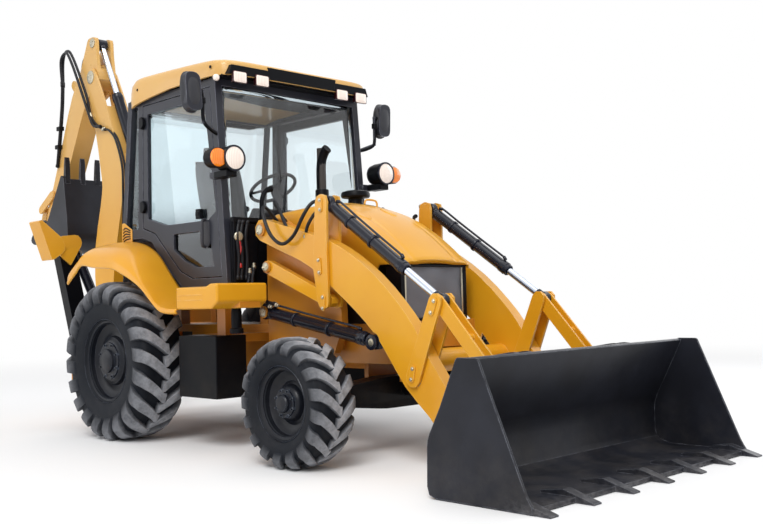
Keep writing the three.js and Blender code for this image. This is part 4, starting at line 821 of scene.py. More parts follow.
# Rim barrel, dished disc and stepped hub as one turned section seen from outside, with nuts round the hub.
def rimShape(look, s):
    half, rim, hub = look["width"] / 2, look["rim"], look["hub"]
    scale = hub / 170.0
    profile = [(rim + 14, half - 16), (rim + 22, half - 24), (rim + 4, half - 34),
               (rim - 12, half - 46), (rim - 22, half - 92), (rim - 46, half - 112),
               (rim - 66, half - 118), (hub + 62 * scale, half - 122),
               (hub + 30 * scale, half - 112), (hub + 16 * scale, half - 84),
               (hub + 2, half - 76), (hub - 4, half - 70),
               (hub - 22 * scale, half - 64), (hub - 26 * scale, half - 52),
               (96 * scale, half - 50), (90 * scale, half - 30),
               (78 * scale, half - 22), (30 * scale, half - 20), (6, half - 19)]
    back = [(6, -40), (hub, -40), (hub + 30, 40 - half), (rim - 30, 26 - half), (rim + 10, 18 - half),
            (rim + 8, 30 - half), (rim - 20, half - 110)]
    centre = np.array([look["x"], s * look["y"], look["radius"]])
    whole = np.array([(r, s * h) for r, h in profile[::-1] + back[::-1]])
    shapes = [lathe(whole, centre, (0, 1, 0), 72)]
    face = half - 66
    for k in range(look["nuts"]):
        a = 2 * np.pi * (k + 0.5) / look["nuts"]
        spot = centre + [look["nutRing"] * math.cos(a), s * face, look["nutRing"] * math.sin(a)]
        shapes.append(lathe([(look["nutSize"] * 0.5, 30), (look["nutSize"] * 0.5, 12)][::-1],
                            spot, (0, s, 0), 10))
        shapes.append(boltHead(spot, (0, s, 0), look["nutSize"], 17))
    valve = centre + [(rim - 60) * math.cos(1.1), s * (half - 118), (rim - 60) * math.sin(1.1)]
    shapes.append(tube(spline([valve, valve + [6, s * 18, 4], valve + [20, s * 30, 12]], 6), 5.0, 8))
    return gather(*shapes)


for side, s in sides.items():
    for end, look in tyreLooks.items():
        body = f"{end}_wheel_{side}"
        shape, marks = tyreShape(look, s)
        tyre = makePiece(f"{end}_tyre_{side}", shape, "tyreRubber", body, angle=28,
                         clean=False)
        attribute = tyre.data.attributes.new("lugFace", "FLOAT", "POINT")
        attribute.data.foreach_set("value", marks.astype(np.float32))
        work = bmesh.new()
        work.from_mesh(tyre.data)
        bmesh.ops.recalc_face_normals(work, faces=work.faces)
        work.to_mesh(tyre.data)
        work.free()
        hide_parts(f"{end}_wheel_{side}")
        makePiece(f"{end}_rim_{side}", rimShape(look, s), "rimPaint", body, angle=32)
print("stage: wheels")

# Hydraulic cylinders.
armMiddle = 525.0
cylinderLooks = {"lift": {"base": (1422, 997), "end": (2566, 790), "shortest": 1150, "tube": 45,
                          "rod": 28, "baseEye": 56, "rodEye": 50, "half": 25},
                 "tilt": {"base": (2120, 1738), "end": (3140, 1048), "shortest": 955, "tube": 42,
                          "rod": 26, "baseEye": 52, "rodEye": 46, "half": 25},
                 "boom": {"base": (-1420, 1100), "end": (-1175, 2200), "shortest": 1105, "tube": 55,
                          "rod": 30, "baseEye": 58, "rodEye": 52, "half": 50},
                 "dipper": {"base": (-1245, 2500), "end": (-1883, 3745), "shortest": 845, "tube": 52,
                            "rod": 30, "baseEye": 54, "rodEye": 50, "half": 48},
                 "hoe_bucket": {"base": (-2350, 3400), "end": (-3025, 2136), "shortest": 890,
                                "tube": 42, "rod": 26, "baseEye": 48, "rodEye": 44,
                                "half": 36}, "stabiliser": {"base": (830, 1641),
                                                            "end": (425, 690), "shortest": 1020,
                                                            "tube": 44, "rod": 24, "baseEye": 48,
                                                            "rodEye": 44, "half": 25},}
stabiliserX = -960.0


# A short turned boss with chamfered rims.
def ringEye(centre, sideways, radius, half):
    return lathe([(radius - 6, -half), (radius, 5 - half), (radius, half - 5), (radius - 6, half)],
                 centre, sideways, 32)


# Closed tube with a domed foot, a gland of larger radius at its mouth, and a weld bead by the foot.
def barrelShape(base, end, sideways, look):
    along = (end - base) / np.linalg.norm(end - base)
    mouth = look["shortest"] - look["rodEye"] - 30
    t, foot = look["tube"], look["baseEye"] - 8
    profile = [(look["rod"] + 2, foot), (t - 12, foot), (t - 3, foot + 5),
               (t - 1, foot + 14), (t + 2.5, foot + 20), (t - 1, foot + 26), (t, foot + 32),
               (t, mouth - 82), (t + 4, mouth - 76), (t + 4, mouth - 30),
               (t - 1, mouth - 26), (t - 1, mouth - 6), (t - 6, mouth),
               (look["rod"] + 9, mouth), (look["rod"] + 7, mouth - 8), (look["rod"] + 1.5, mouth - 8)]
    return gather(lathe(profile, base, along, 40), ringEye(base, sideways, look["baseEye"], look["half"]))


# A plain bar with a chamfered end, from the eye back into the barrel.
def rodShape(base, end, look):
    along = (base - end) / np.linalg.norm(end - base)
    tail = look["shortest"] - look["baseEye"] - 60
    return lathe([(look["rod"], look["rodEye"] * 0.7), (look["rod"], tail - 3),
                  (look["rod"] - 3, tail)], end, along, 36)


# Barrel, rod and rod eye of one cylinder between two pins, each on its own body.
def addCylinder(prefix, suffix, base, end, sideways, look):
    barrelNode, rodNode = prefix + "_barrel" + suffix, prefix + "_rod" + suffix
    barrel = makePiece(barrelNode + "_tube", barrelShape(base, end, sideways, look),
                       "blackGloss", bodyOfNode[barrelNode])
    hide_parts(barrelNode)
    rod = makePiece(rodNode + "_chrome", rodShape(base, end, look), "chromeRod",
                    bodyOfNode[rodNode])
    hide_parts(rodNode)
    eye = gather(ringEye(end, sideways, look["rodEye"], look["half"]),
                 lathe([(look["rod"] + 9, look["rodEye"] * 0.5), (look["rod"] + 9, look["rodEye"] + 16),
                        (look["rod"] + 3, look["rodEye"] + 22)], end, (base - end), 28))
    makePiece(rodNode + "_eye", eye, "blackGloss", bodyOfNode[rodNode])


for prefix, look in cylinderLooks.items():
    base, end = np.array(look["base"], float), np.array(look["end"], float)
    if prefix in ("lift", "tilt"):
        for side, s in sides.items():
            addCylinder(prefix, "_" + side, np.array([base[0], s * armMiddle, base[1]]),
                        np.array([end[0], s * armMiddle, end[1]]), (0, 1, 0), look)
    elif prefix == "stabiliser":
        for side, s in sides.items():
            addCylinder(prefix, "_" + side, np.array([stabiliserX, s * base[0], base[1]]),
                        np.array([stabiliserX, s * end[0], end[1]]), (1, 0, 0), look)
    else:
        addCylinder(prefix, "", np.array([base[0], 0, base[1]]), np.array([end[0], 0, end[1]]),
                    (0, 1, 0), look)
print("stage: cylinders")

# Bonnet.
bonnetLook = {"rear": 1300.0, "front": 2620.0, "halfWidth": 352.0, "skirt": 1085.0, "crown": 62.0,
              "corner": 46.0}


# Height of the bonnet: 1782 + 18 sin(1.2 pi t) - 425 ((t - 0.3)/0.7)^1.9, less crown (y/half)^2 (1 - t/2),
# with t the share of the length from the rear; a shallow crease lies three fifths of the way out.
def bonnetCrest(x, y, look):
    t = (x - look["rear"]) / (look["front"] - look["rear"])
    crest = 1782 + 18 * np.sin(np.pi * t * 1.2) - 425 * np.clip((t - 0.3) / 0.7, 0, None) ** 1.9
    crease = 5.0 * np.exp(-((np.abs(y) - 215) / 16.0) ** 2) * np.clip(t * 3, 0, 1)
    return crest - look["crown"] * (y / look["halfWidth"]) ** 2 * (1 - 0.5 * t) - crease


# Lower edge: skirt height, rising to 1300 mm by the smooth step 3 r^2 - 2 r^3 near the front.
def bonnetSkirt(x, look):
    rise = np.clip((x - 2330) / 100, 0, 1)
    return look["skirt"] + (1300 - look["skirt"]) * rise ** 2 * (3 - 2 * rise)


# A section across the bonnet for each x: straight sides, a round corner of the given radius, the crown.
def bonnetShell(look):
    u = np.linspace(0, 1, 90)
    x = look["rear"] + (look["front"] - look["rear"]) * u
    corner = look["corner"]
    bend = np.linspace(0, np.pi / 2, 9)
    inner = look["halfWidth"] - corner
    side = np.linspace(0, 1, 14)
    shoulder = bonnetCrest(x, np.full_like(x, inner), look)
    low = bonnetSkirt(x, look)
    left = [np.stack([x, np.full_like(x, look["halfWidth"]), low + (shoulder - corner - low) * k], -1)
            for k in side]
    turn = [np.stack([x, inner + corner * np.cos(b) + 0 * x, shoulder - corner + corner * np.sin(b)], -1)
            for b in bend[1:]]
    half = left + turn
    across = [np.stack([x, np.full_like(x, y), bonnetCrest(x, np.full_like(x, y), look)], -1)
              for y in np.linspace(inner, -inner, 61)[1:-1]]
    rows = half + across + [r * [1, -1, 1] for r in half[::-1]]
    skin = np.stack(rows, 1)
    front = skin[-1]
    lip = np.stack([front + [0, 0, 0], front * [1, 0.985, 1] + [6, 0, -14],
                    front * [1, 0.97, 1] + [-2, 0, -40]], 0)
    lip[1:, :, 2] = np.maximum(lip[1:, :, 2], 1297)
    return gridShape(np.concatenate([skin, lip], 0))


# A round bar bent into a low arch.
def handleLoop():
    return tube(spline([(1886, 48, 1762), (1886, 50, 1796), (1890, 68, 1814),
                        (1904, 132, 1810), (1910, 150, 1792), (1910, 152, 1756)], 26), 7.5, 10)


# Ellipses of shrinking size laid on the crest, each a little higher.
def ovalCap(x, y, length, width):
    z = float(bonnetCrest(np.array(x), np.array(y), bonnetLook))
    t = np.linspace(0, 2 * np.pi, 28, endpoint=False)
    rings = [np.stack([x + length * k * np.cos(t), y + width * k * np.sin(t),
                       bonnetCrest(x + length * k * np.cos(t), y + width * k * np.sin(t),
                                   bonnetLook) + h], -1) for k,
             h in ((1.06, -2), (1.0, 5), (0.86, 8), (0.3, 9))]
    return gridShape(np.stack(rings), closeColumns=True, capRows=True)


shell = makePiece("bonnet_shell", bonnetShell(bonnetLook), "yellowPaint", "bonnet",
                  thickness=8, angle=40)
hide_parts("bonnet")
makePiece("bonnet_handle", handleLoop(), "yellowPaint", "bonnet")
makePiece("bonnet_caps", gather(ovalCap(2140, -222, 78, 44), ovalCap(2105, 78, 74, 42)),
          "yellowPaint", "bonnet")
preCleaner = [(30, 1765), (66, 1768), (68, 1790), (60, 1800), (56, 1838), (62, 1848),
              (104, 1852), (112, 1862), (112, 1882), (104, 1896), (74, 1906), (30, 1911), (4, 1912)]
makePiece("air_cleaner", lathe(preCleaner, (1680, 150, 0), (0, 0, 1), 44), "blackSatin",
          "bonnet")
seam = np.array([(1905, y, float(bonnetCrest(np.array(1905.0), np.array(y), bonnetLook)) + 0.6)
                 for y in np.linspace(-306, 306, 40)])
makePiece("bonnet_seam", tube(seam, 2.2, 6), "blackSatin", "bonnet")
print("stage: bonnet")

# Grille and nose.


# A mesh panel with a slow ripple x = 2596 + 5 sin(...) sin(...) across the radiator's face.
def grille():
    y, z = np.meshgrid(np.linspace(-296, 296, 60), np.linspace(930, 1288, 36), indexing="ij")
    x = 2596 + 5.0 * np.sin(y / 47.0 + z / 90.0) * np.sin(z / 61.0)
    return gridShape(np.stack([x, y, z], -1))


makePiece("grille_mesh", grille(), "grilleMesh", "chassis", thickness=4)
surround = gather(block(2470, 2612, -334, -300, 917, 1300), block(2470, 2612, 300, 334, 917, 1300),
                  block(2590, 2612, -300, 300, 1282, 1298), block(2590, 2612, -300, 300, 917, 935))
makePiece("grille_surround", surround, "blackSatin", "chassis", bevel=4)
strips = gather(block(2603, 2609, -296, -282, 940, 1280), block(2603, 2609, 282, 296, 940, 1280))
makePiece("grille_strips", strips, "zincPin", "chassis", bevel=1)

# Roof.
roofLook = {"rear": -150.0, "front": 1262.0, "half": 775.0, "bottom": 2771.0, "rearTop": 2950.0,
            "frontTop": 2888.0, "skirt": 72.0}


# Rings from the rim to the crown: a superellipse of power 9 in plan scaled by f, at share g of the local
# thickness. The top falls from rear to front and rounds down at the rear, where the skirt hangs lower.
def roofShell(look):
    t = np.linspace(0, 2 * np.pi, 200, endpoint=False)
    power = 2 / 9.0
    unitX = np.sign(np.cos(t)) * np.abs(np.cos(t)) ** power
    unitY = np.sign(np.sin(t)) * np.abs(np.sin(t)) ** power
    middleX, halfX = (look["front"] + look["rear"]) / 2, (look["front"] - look["rear"]) / 2
    rings = []
    steps = [(0.88, 0.10), (0.965, 0.08), (0.975, 0.0), (1.0, 0.0), (1.003, 0.3), (1.0, 0.62),
             (0.992, 0.84), (0.975, 0.95), (0.94, 1.0), (0.80, 1.02), (0.6, 1.03), (0.3, 1.04),
             (0.02, 1.04)]
    for f, g in steps:
        x, y = middleX + halfX * unitX * f, look["half"] * unitY * f
        along = np.clip((x - look["rear"]) / (look["front"] - look["rear"]), 0, 1)
        thick = look["rearTop"] + (look["frontTop"] - look["rearTop"]) * along ** 1.4 - look["bottom"]
        thick = thick - 50 * np.exp(-(along / 0.10) ** 2)
        drop = look["skirt"] * np.clip(1 - along / 0.55, 0, 1) ** 1.4 * (1 - g)
        rings.append(np.stack([x, y, look["bottom"] - drop + thick * g], -1))
    return gridShape(np.stack(rings), closeColumns=True, capRows=True)


roofPiece = makePiece("roof_shell", roofShell(roofLook), "yellowPaint", "chassis", angle=50)
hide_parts("cab_roof")
visor = gather(plate([(-330, 2774), (330, 2774), (352, 2868), (-352, 2868)], "x", 1200, 1267),
               *[plate([(s * 300, 2774), (s * 716, 2774), (s * 690, 2842), (s * 300, 2842)], "x", 1190,
                       1266) for s in (1, -1)], block(-100, 1200, -735, 735, 2762, 2776))
makePiece("roof_visor", visor, "blackSatin", "chassis", bevel=4)


# A rectangular lamp: housing narrowing to the back, bezel, and a bulged lens.
def workLamp(y):
    outline = roundedRect(64, 43, 12)
    x0, z0 = 1276, 2752
    rings = [(-46, 0.72), (-40, 0.86), (-8, 1.0), (0, 1.0), (0, 0.92)]
    body = np.stack([np.stack([np.full(len(outline), x0 + dx), y + outline[:, 0] * k,
                               z0 + outline[:, 1] * k], -1) for dx, k in rings])
    lens = np.stack([np.stack([np.full(len(outline), x0 + dx), y + outline[:, 0] * k,
                               z0 + outline[:, 1] * k], -1) for dx,
                     k in ((-6, 0.91), (1, 0.9), (5, 0.7), (7, 0.35), (7.5, 0.05))])
    return gridShape(body, closeColumns=True, capRows=True), gridShape(lens, closeColumns=True, capRows=True)


for side, s in sides.items():
    lamps = [workLamp(s * y) for y in (412, 622)]
    makePiece(f"work_lamp_housings_{side}", gather(*[lamp[0] for lamp in lamps]), "lampShell",
              "chassis", bevel=2)
    makePiece(f"work_lamp_lenses_{side}", gather(*[lamp[1] for lamp in lamps]), "whiteLens", "chassis")
marker = lathe([(8, 0), (22, 4), (26, 14), (22, 30), (10, 38)], (1150, -752, 2752), (1, -0.5, -0.1), 24)
makePiece("marker_lamp", marker, "whiteLens", "chassis")
makePiece("roof_bolts", gather(*[boltHead((x, s * 772, 2838), (0, s, 0), 10, 7) for x in (80, 1110)
                                 for s in (1, -1)]), "blackSatin", "chassis")
print("stage: roof")

# Rear fenders.
fenderLook = {"lip": [(-560, 1290), (-422, 1377), (-319, 1438), (-122, 1414), (162, 1393),
                      (313, 1347), (458, 1292), (600, 1222), (737, 1122), (843, 1053),
                      (949, 1034), (1069, 1032)], "crest": [(-560, 1490), (-440, 1556),
                                                            (-314, 1592), (-122, 1600),
                                                            (36, 1583), (186, 1541),
                                                            (332, 1460), (472, 1326),
                                                            (590, 1215), (720, 1110),
                                                            (860, 1065), (1069, 1050)],
              "inner": 742.0, "outer": 1084.0}


# Between the crest curve by the cab and the lip curve over the tyre: y rises by sin(a), z falls by
# 1 - cos(a), a from 0 to a quarter turn; the last rows turn down in a rolled edge.
def fenderShape(look, s):
    crest, lip = spline(look["crest"], 70), spline(look["lip"], 70)
    a = np.linspace(0, np.pi / 2, 22)
    bulge, drop = np.sin(a)[None, :], (1 - np.cos(a))[None, :]
    share = (a / (np.pi / 2))[None, :]
    x = crest[:, 0, None] + (lip[:, 0] - crest[:, 0])[:, None] * share
    y = look["inner"] + (look["outer"] - look["inner"]) * bulge + 0 * x
    z = crest[:, 1, None] + (lip[:, 1] - crest[:, 1])[:, None] * drop
    skin = np.stack([x, s * y, z], -1)
    edge = skin[:, -1:]
    rolled = [edge + [0, s * 5, -10], edge + [0, s * 4, -26], edge + [0, -s * 6, -34],
              edge + [0, -s * 14, -30]]
    return gridShape(np.concatenate([skin] + rolled, 1))


fenders = [makePiece(f"fender_{side}", fenderShape(fenderLook, s), "yellowPaint", "chassis",
                     thickness=10, angle=40) for side, s in sides.items()]
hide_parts("rear_fenders")
makePiece("fender_bar", gather(block(-300, -268, -760, 760, 1470, 1505),
                               block(-340, -230, 743, 761, 1470, 1582),
                               block(-340, -230, -761, -743, 1470, 1582)), "yellowPaint",
          "chassis", bevel=3)
print("stage: fenders")

# Glass.
cabLook = {"halfWidth": 735.0, "rear": -262.0, "front": 1222.0, "floor": 1200.0, "eaves": 2770.0,
           "post": 62.0, "lean": 115.0}
archTop = cabLook["floor"] + 440


# x = front - 34 - lean (z - floor)/(eaves - floor) + 26 (1 - (y/half)^2): a leaning pane bowed forwards.
def windscreen(look):
    half = look["halfWidth"] - look["post"] + 10
    y, z = np.meshgrid(np.linspace(-half, half, 25),
                       np.linspace(look["floor"] + 325, look["eaves"] - 50, 22), indexing="ij")
    leanBack = look["lean"] * (z - look["floor"]) / (look["eaves"] - look["floor"])
    x = look["front"] - 34 - leanBack + 26 * (1 - (y / half) ** 2)
    return gridShape(np.stack([x, y, z], -1))


# x leans forward in proportion to the height above the arch.
def rearPane(look):
    half = look["halfWidth"] - look["post"] + 6
    y, z = np.meshgrid(np.linspace(-half, half, 9),
                       np.linspace(archTop + 54, look["eaves"] - 56, 9), indexing="ij")
    x = look["rear"] + 40 + 130 * (z - archTop) / (look["eaves"] - archTop) + 0 * y
    return gridShape(np.stack([x, y, z], -1))


makePiece("windscreen", windscreen(cabLook), "frontGlass", "chassis", thickness=5)
makePiece("rear_window", rearPane(cabLook), "sideGlass", "chassis", thickness=5)
upperPane = [(140, 1760), (150, 2635), (967, 2635), (1102, 1755), (994, 1692), (420, 1692)]
lowerPane = [(512, 1628), (964, 1628), (1018, 1562), (1063, 1342), (826, 1342), (652, 1402), (512, 1496)]
quarterPane = [(-208, 1694), (-104, 2714), (31, 2714), (6, 1694)]
for side, s in sides.items():
    makePiece(f"door_glass_{side}", gather(plate(upperPane, "y", s * 708, s * 713),
                                           plate(lowerPane, "y", s * 708, s * 713)),
              "sideGlass", f"door_{side}")
    makePiece(f"quarter_glass_{side}", plate(quarterPane, "y", s * 702, s * 707), "sideGlass", "chassis")
print("stage: glass")

# Cab fittings.


# A mirror head: superellipse rings in the y-z plane, deep at the back and flat at the glass.
def capsule(centre, halfWidth, halfHeight, depth, lean=0.0):
    t = np.linspace(0, 2 * np.pi, 40, endpoint=False)
    u = np.sign(np.cos(t)) * np.abs(np.cos(t)) ** 0.72
    v = np.sign(np.sin(t)) * np.abs(np.sin(t)) ** 0.8
    rings = [(0, 0.86), (2, 0.95), (10, 1.0), (0.35 * depth, 0.98),
             (0.7 * depth, 0.86), (0.92 * depth, 0.62), (depth, 0.2)]
    points = [np.stack([centre[0] + dx + 0 * u, centre[1] + halfWidth * k * u + lean * v * halfHeight * k,
                        centre[2] + halfHeight * k * v], -1) for dx, k in rings]
    return gridShape(np.stack(points), closeColumns=True, capRows=True)


# Places in mm; lampY, mirrorY and indicatorY are measured outwards from the middle of the cab.
frontLamps = {"lampY": 776.0, "lampZ": 2118.0, "indicatorY": 900.0, "indicatorZ": 2116.0, "mirrorX": 1122.0,
              "mirrorY": 978.0, "mirrorZ": 2615.0}
for side, s in sides.items():
    head = (frontLamps["mirrorX"], s * frontLamps["mirrorY"], frontLamps["mirrorZ"])
    lampSpot = (0, s * frontLamps["lampY"], frontLamps["lampZ"])
    amberSpot = (0, s * frontLamps["indicatorY"], frontLamps["indicatorZ"])
    makePiece(f"mirror_head_{side}", capsule(head, 78, 152, 84, s * 0.06), "cabTrim",
              "chassis", angle=50)
    arm = spline([(1110, s * 705, 2330), (1140, s * 790, 2352), (1160, s * 862, 2388), (1162, s * 882, 2440),
                  (1162, s * 884, 2560), (1160, s * 892, 2624), (1152, s * 930, 2634)], 40)
    clamp = gather(lathe([(20, -22), (24, -18), (24, 18), (20, 22)], (1162, s * 884, 2560), (0, 0, 1), 20),
                   lathe([(19, -16), (22, -12), (22, 12), (19, 16)], (1158, s * 905, 2628), (0, 1, 0), 20))
    makePiece(f"mirror_arm_{side}", gather(tube(arm, 14, 12), clamp), "blackSatin", "chassis")
    pod = lathe([(20, 1246), (58, 1248), (84, 1264), (90, 1290), (92, 1372), (96, 1384),
                 (96, 1392), (88, 1392)], lampSpot, (1, 0, 0), 44)
    makePiece(f"headlamp_pod_{side}", pod, "blackSatin", "chassis")
    bezel = lathe([(90, 1390), (95, 1394), (95, 1402), (84, 1404), (80, 1398)], lampSpot, (1, 0, 0), 44)
    makePiece(f"headlamp_bezel_{side}", bezel, "blackGloss", "chassis")
    lens = lathe([(83, 1392), (82, 1399), (60, 1407), (30, 1411), (4, 1412)], lampSpot, (1, 0, 0), 44)
    makePiece(f"headlamp_lens_{side}", lens, "whiteLens", "chassis")
    amber = lathe([(40, 1306), (66, 1310), (68, 1372), (62, 1386), (34, 1396), (4, 1399)],
                  amberSpot, (1, 0, 0), 36)
    amberPod = lathe([(50, 1262), (70, 1276), (73, 1330), (73, 1366), (66, 1368)],
                     (0, s * 898, 2116), (1, 0, 0), 36)
    makePiece(f"indicator_{side}", amber, "amberLens", "chassis")
    makePiece(f"indicator_pod_{side}", amberPod, "blackSatin", "chassis")
    boxBracket = gather(block(1206, 1368, *sorted((s * 735, s * 830)), 1986, 2034),
                        block(1270, 1330, *sorted((s * 752, s * 800)), 2030, 2052))
    makePiece(f"headlamp_bracket_{side}", boxBracket, "blackSatin", "chassis", bevel=5)
    # Hinge wedges, handle pod and latch on the door.
    for z in (2560, 1870):
        wedge = [(77, z - 44), (112, z - 52), (142, z - 20), (142, z + 20), (112, z + 52), (77, z + 44)]
        makePiece(f"door_hinge_{side}_{z}", gather(plate(wedge, "y", *sorted((s * 736, s * 768))),
                                                   lathe([(16, z - 40), (20, z - 34),
                                                          (20, z + 34), (16, z + 40)],
                                                         (76, s * 735, 0), (0, 0, 1), 20)),
                  "blackSatin", f"door_{side}", bevel=6)
    grip = spline([(960, s * 738, 1500), (966, s * 772, 1512), (972, s * 778, 1600),
                   (968, s * 772, 1690), (960, s * 738, 1702)], 26)
    pocket = np.array([(955, 1598)]) + roundedRect(62, 108, 46)
    makePiece(f"door_handle_{side}", gather(tube(grip, 12, 10),
                                            plate(pocket, "y", *sorted((s * 734, s * 744)))),
              "cabTrim", f"door_{side}", bevel=2)
    makePiece(f"door_latch_{side}", gather(block(842, 902, *sorted((s * 716, s * 748)), 1716, 1792),
                                           block(850, 894, *sorted((s * 744, s * 756)), 1736,
                                                 1772)), "blackSatin", f"door_{side}",
              bevel=5)
wiper = gather(tube(spline([(1196, -170, 1560), (1176, -140, 1800), (1146, -90, 2060)], 14), 7, 8),
               tube(spline([(1150, -150, 2010), (1128, -160, 2200), (1106, -175, 2420)], 14), 6, 8),
               block(1140, 1150, -168, -150, 2000, 2026))
makePiece("wiper", wiper, "blackSatin", "chassis")


# Crowned pads: height is the root of (1 - u^6)(1 - v^6), less along two sewn channels; the sides pull in.
def seatShapes():
    # Upper and lower skins: centre + u, v steps along two axes, -+ the puffed height along the third.
    def pad(centre, half, axes):
        u, v = np.meshgrid(np.linspace(-1, 1, 31), np.linspace(-1, 1, 31), indexing="ij")
        puff = np.sqrt(np.clip(1 - u ** 6, 0, 1) * np.clip(1 - v ** 6, 0, 1))
        channel = 1 - 0.10 * np.exp(-((np.abs(u) - 0.55) / 0.05) ** 2)
        pull = 1 - 0.05 * v ** 2
        across, along = (u * pull)[..., None], (v * (1 - 0.05 * u ** 2))[..., None]
        middle = np.array(centre) + half[0] * across * axes[0] + half[1] * along * axes[1]
        rise = (half[2] * puff * channel)[..., None] * axes[2]
        return gather(gridShape(middle + rise), gridShape(middle - rise))
    x, y, z = np.eye(3)
    lean = np.array([-0.22, 0, 0.975])
    face = np.array([0.975, 0, 0.22])
    return [pad((395, 0, 1720), (235, 235, 62), (x, y, z)),
            pad((150, 0, 2010), (235, 300, 58), (y, lean, face)),
            pad((92, 0, 2345), (130, 80, 42), (y, lean, face))]


for label, shape in zip(("seat_cushion", "seat_back", "head_rest"), seatShapes()):
    makePiece(label, shape, "seatVinyl", "chassis", angle=60)
base = gather(block(200, 560, -180, 180, 1237, 1560), block(170, 590, -225, 225, 1558, 1668),
              block(540, 960, -120, 120, 1237, 1290))
seatBase = makePiece("seat_base", base, "cabTrim", "chassis", bevel=14)
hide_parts("cab_interior")
console = gather(plate([(870, 1237), (1080, 1237), (1088, 1790), (960, 1815), (880, 1700)], "y", -300, 300),
                 tube(spline([(985, 0, 1760), (930, 0, 1880), (872, 0, 1980)], 12), 34, 16))
makePiece("console", console, "cabTrim", "chassis", bevel=16)
wheelAxis = np.array([-0.5, 0, 0.866])
t = np.linspace(0, 2 * np.pi, 48, endpoint=False)
d, e1, e2 = basis(wheelAxis)
hubPoint = np.array([858.0, 0, 2000.0])
wheelRadius, gripRadius = 190, 14
ringPath = hubPoint + wheelRadius * (np.cos(t)[:, None] * e1 + np.sin(t)[:, None] * e2)
section = np.linspace(0, 2 * np.pi, 12, endpoint=False)
radial = (ringPath - hubPoint) / wheelRadius
outward = np.cos(section)[None, :, None] * radial[:, None]
sideways = np.sin(section)[None, :, None] * d
ringSkin = ringPath[:, None] + gripRadius * (outward + sideways)
spokeEnds = [hubPoint + 180 * (math.cos(a) * e1 + math.sin(a) * e2) for a in (0.5, 2.6, 4.7)]
spokes = [tube([hubPoint, end], 10, 8) for end in spokeEnds]
makePiece("steering_wheel", gather(gridShape(ringSkin, closeRows=True, closeColumns=True), *spokes,
                                   lathe([(30, -16), (44, -8), (44, 6), (26, 14)], hubPoint, d,
                                         24)), "cabTrim", "chassis")
levers = [gather(tube(spline([(x, y, 1560), (x + 20, y, 1750), (x + 34, y, 1880)], 10), 8, 8),
                 lathe([(6, -26), (22, -18), (26, 0), (20, 18), (6, 24)], (x + 36, y, 1900), (0, 0, 1), 16))
          for x, y in ((560, -270), (500, -290), (440, -300), (120, 260), (60, 280))]
makePiece("hand_levers", gather(*levers), "cabTrim", "chassis")
makePiece("extinguisher", lathe([(10, 1240), (52, 1246), (55, 1262), (55, 1470), (46, 1500),
                                 (20, 1520), (18, 1560)], (800, -520, 0), (0, 0, 1), 28),
          "redPlastic", "chassis")
firewall = gather(block(1216, 1234, -700, 700, 1205, 1700), block(1230, 1252, -690, -640, 1215, 1690),
                  block(1230, 1246, -600, -470, 1240, 1660), block(1230, 1246, 470, 600, 1240, 1660),
                  block(1226, 1262, -700, 700, 1672, 1706))
makePiece("firewall", firewall, "blackSatin", "chassis", bevel=5)
pipeRows = (-662, -630, -585, 585, 630)
runs = [[(1250, y, 1240), (1258, y + 8, 1400), (1262, y - 6, 1560), (1252, y + 20, 1680)] for y in pipeRows]
makePiece("firewall_pipes", gather(*[hose(run, 13, 30) for run in runs]), "hoseRubber",
          "chassis")
makePiece("firewall_gauge", lathe([(30, 0), (36, 4), (36, 16), (30, 22), (4, 23)],
                                  (1252, -654, 1560), (1, -0.2, 0), 28), "zincPin", "chassis")
makePiece("firewall_lead", hose([(1258, -648, 1530), (1264, -640, 1470),
                                 (1256, -652, 1400), (1262, -640, 1330)], 9, 24), "redPlastic",
          "chassis")
for side, s in sides.items():
    vent = [(-258, 1572), (-96, 1580), (-96, 1700), (-214, 1762), (-252, 1762)]
    makePiece(f"side_vent_{side}", plate(vent, "y", *sorted((s * 733, s * 741))), "yellowPaint",
              "chassis", bevel=3)
    slots = gather(*[tube(spline([(-240 + 3 * k, s * 741, 1598 + 27 * k),
                                  (-190, s * 743, 1620 + 25 * k), (-118, s * 741, 1628 + 16 * k)], 16), 5,
                          8) for k in range(5)])
    makePiece(f"side_vent_slots_{side}", slots, "blackSatin", "chassis")
print("stage: cab fittings")

# Exhaust, tank, sill and steps.
stackPath = spline([(1254, 178, 1700), (1254, 178, 2020), (1256, 178, 2130),
                    (1268, 180, 2205), (1300, 184, 2262), (1326, 188, 2284)], 34)
makePiece("exhaust_stack", gather(tube(stackPath, 38, 24),
                                  lathe([(50, 1730), (54, 1738), (54, 1950), (50, 1958)],
                                        (1262, 178, 0), (0, 0, 1), 32)), "blackSatin",
          "chassis")
intake = spline([(1264, -440, 1640), (1264, -436, 1780), (1264, -430, 1850),
                 (1262, -396, 1910), (1260, -340, 1934)], 28)
makePiece("breather", tube(intake, np.interp(np.arange(28), [0, 20, 27], [17, 18, 26]), 18),
          "blackSatin", "chassis")
for side, s in sides.items():
    tank = plate(np.array([(1065, 608)]) + roundedRect(239, 227, 8), "y", *sorted((s * 634, s * 906)))
    makePiece(f"step_tank_{side}", tank, "blackSatin", "chassis", bevel=9)
    sill = [(1066, 1030), (1500, 1030), (1572, 1078), (1572, 1208), (1486, 1208), (1436, 1189), (1066, 1189)]
    makePiece(f"sill_cover_{side}", plate(sill, "y", *sorted((s * 640, s * 1080))), "yellowPaint",
              "chassis", bevel=16)
    ribs = gather(*[block(1085, 1400, *sorted((s * 1079, s * 1083)), z, z + 7) for z in (1092, 1128)])
    makePiece(f"sill_ribs_{side}", ribs, "yellowPaint", "chassis", bevel=2)
    stand = gather(lathe([(34, 880), (38, 888), (38, 1000), (34, 1030)], (1440, s * 820, 0), (0, 0, 1), 28),
                   lathe([(44, 850), (50, 858), (50, 884), (40, 892)], (1440, s * 820, 0), (0, 0, 1), 28))
    makePiece(f"filler_{side}", stand, "blackSatin", "chassis")
print("stage: body details")

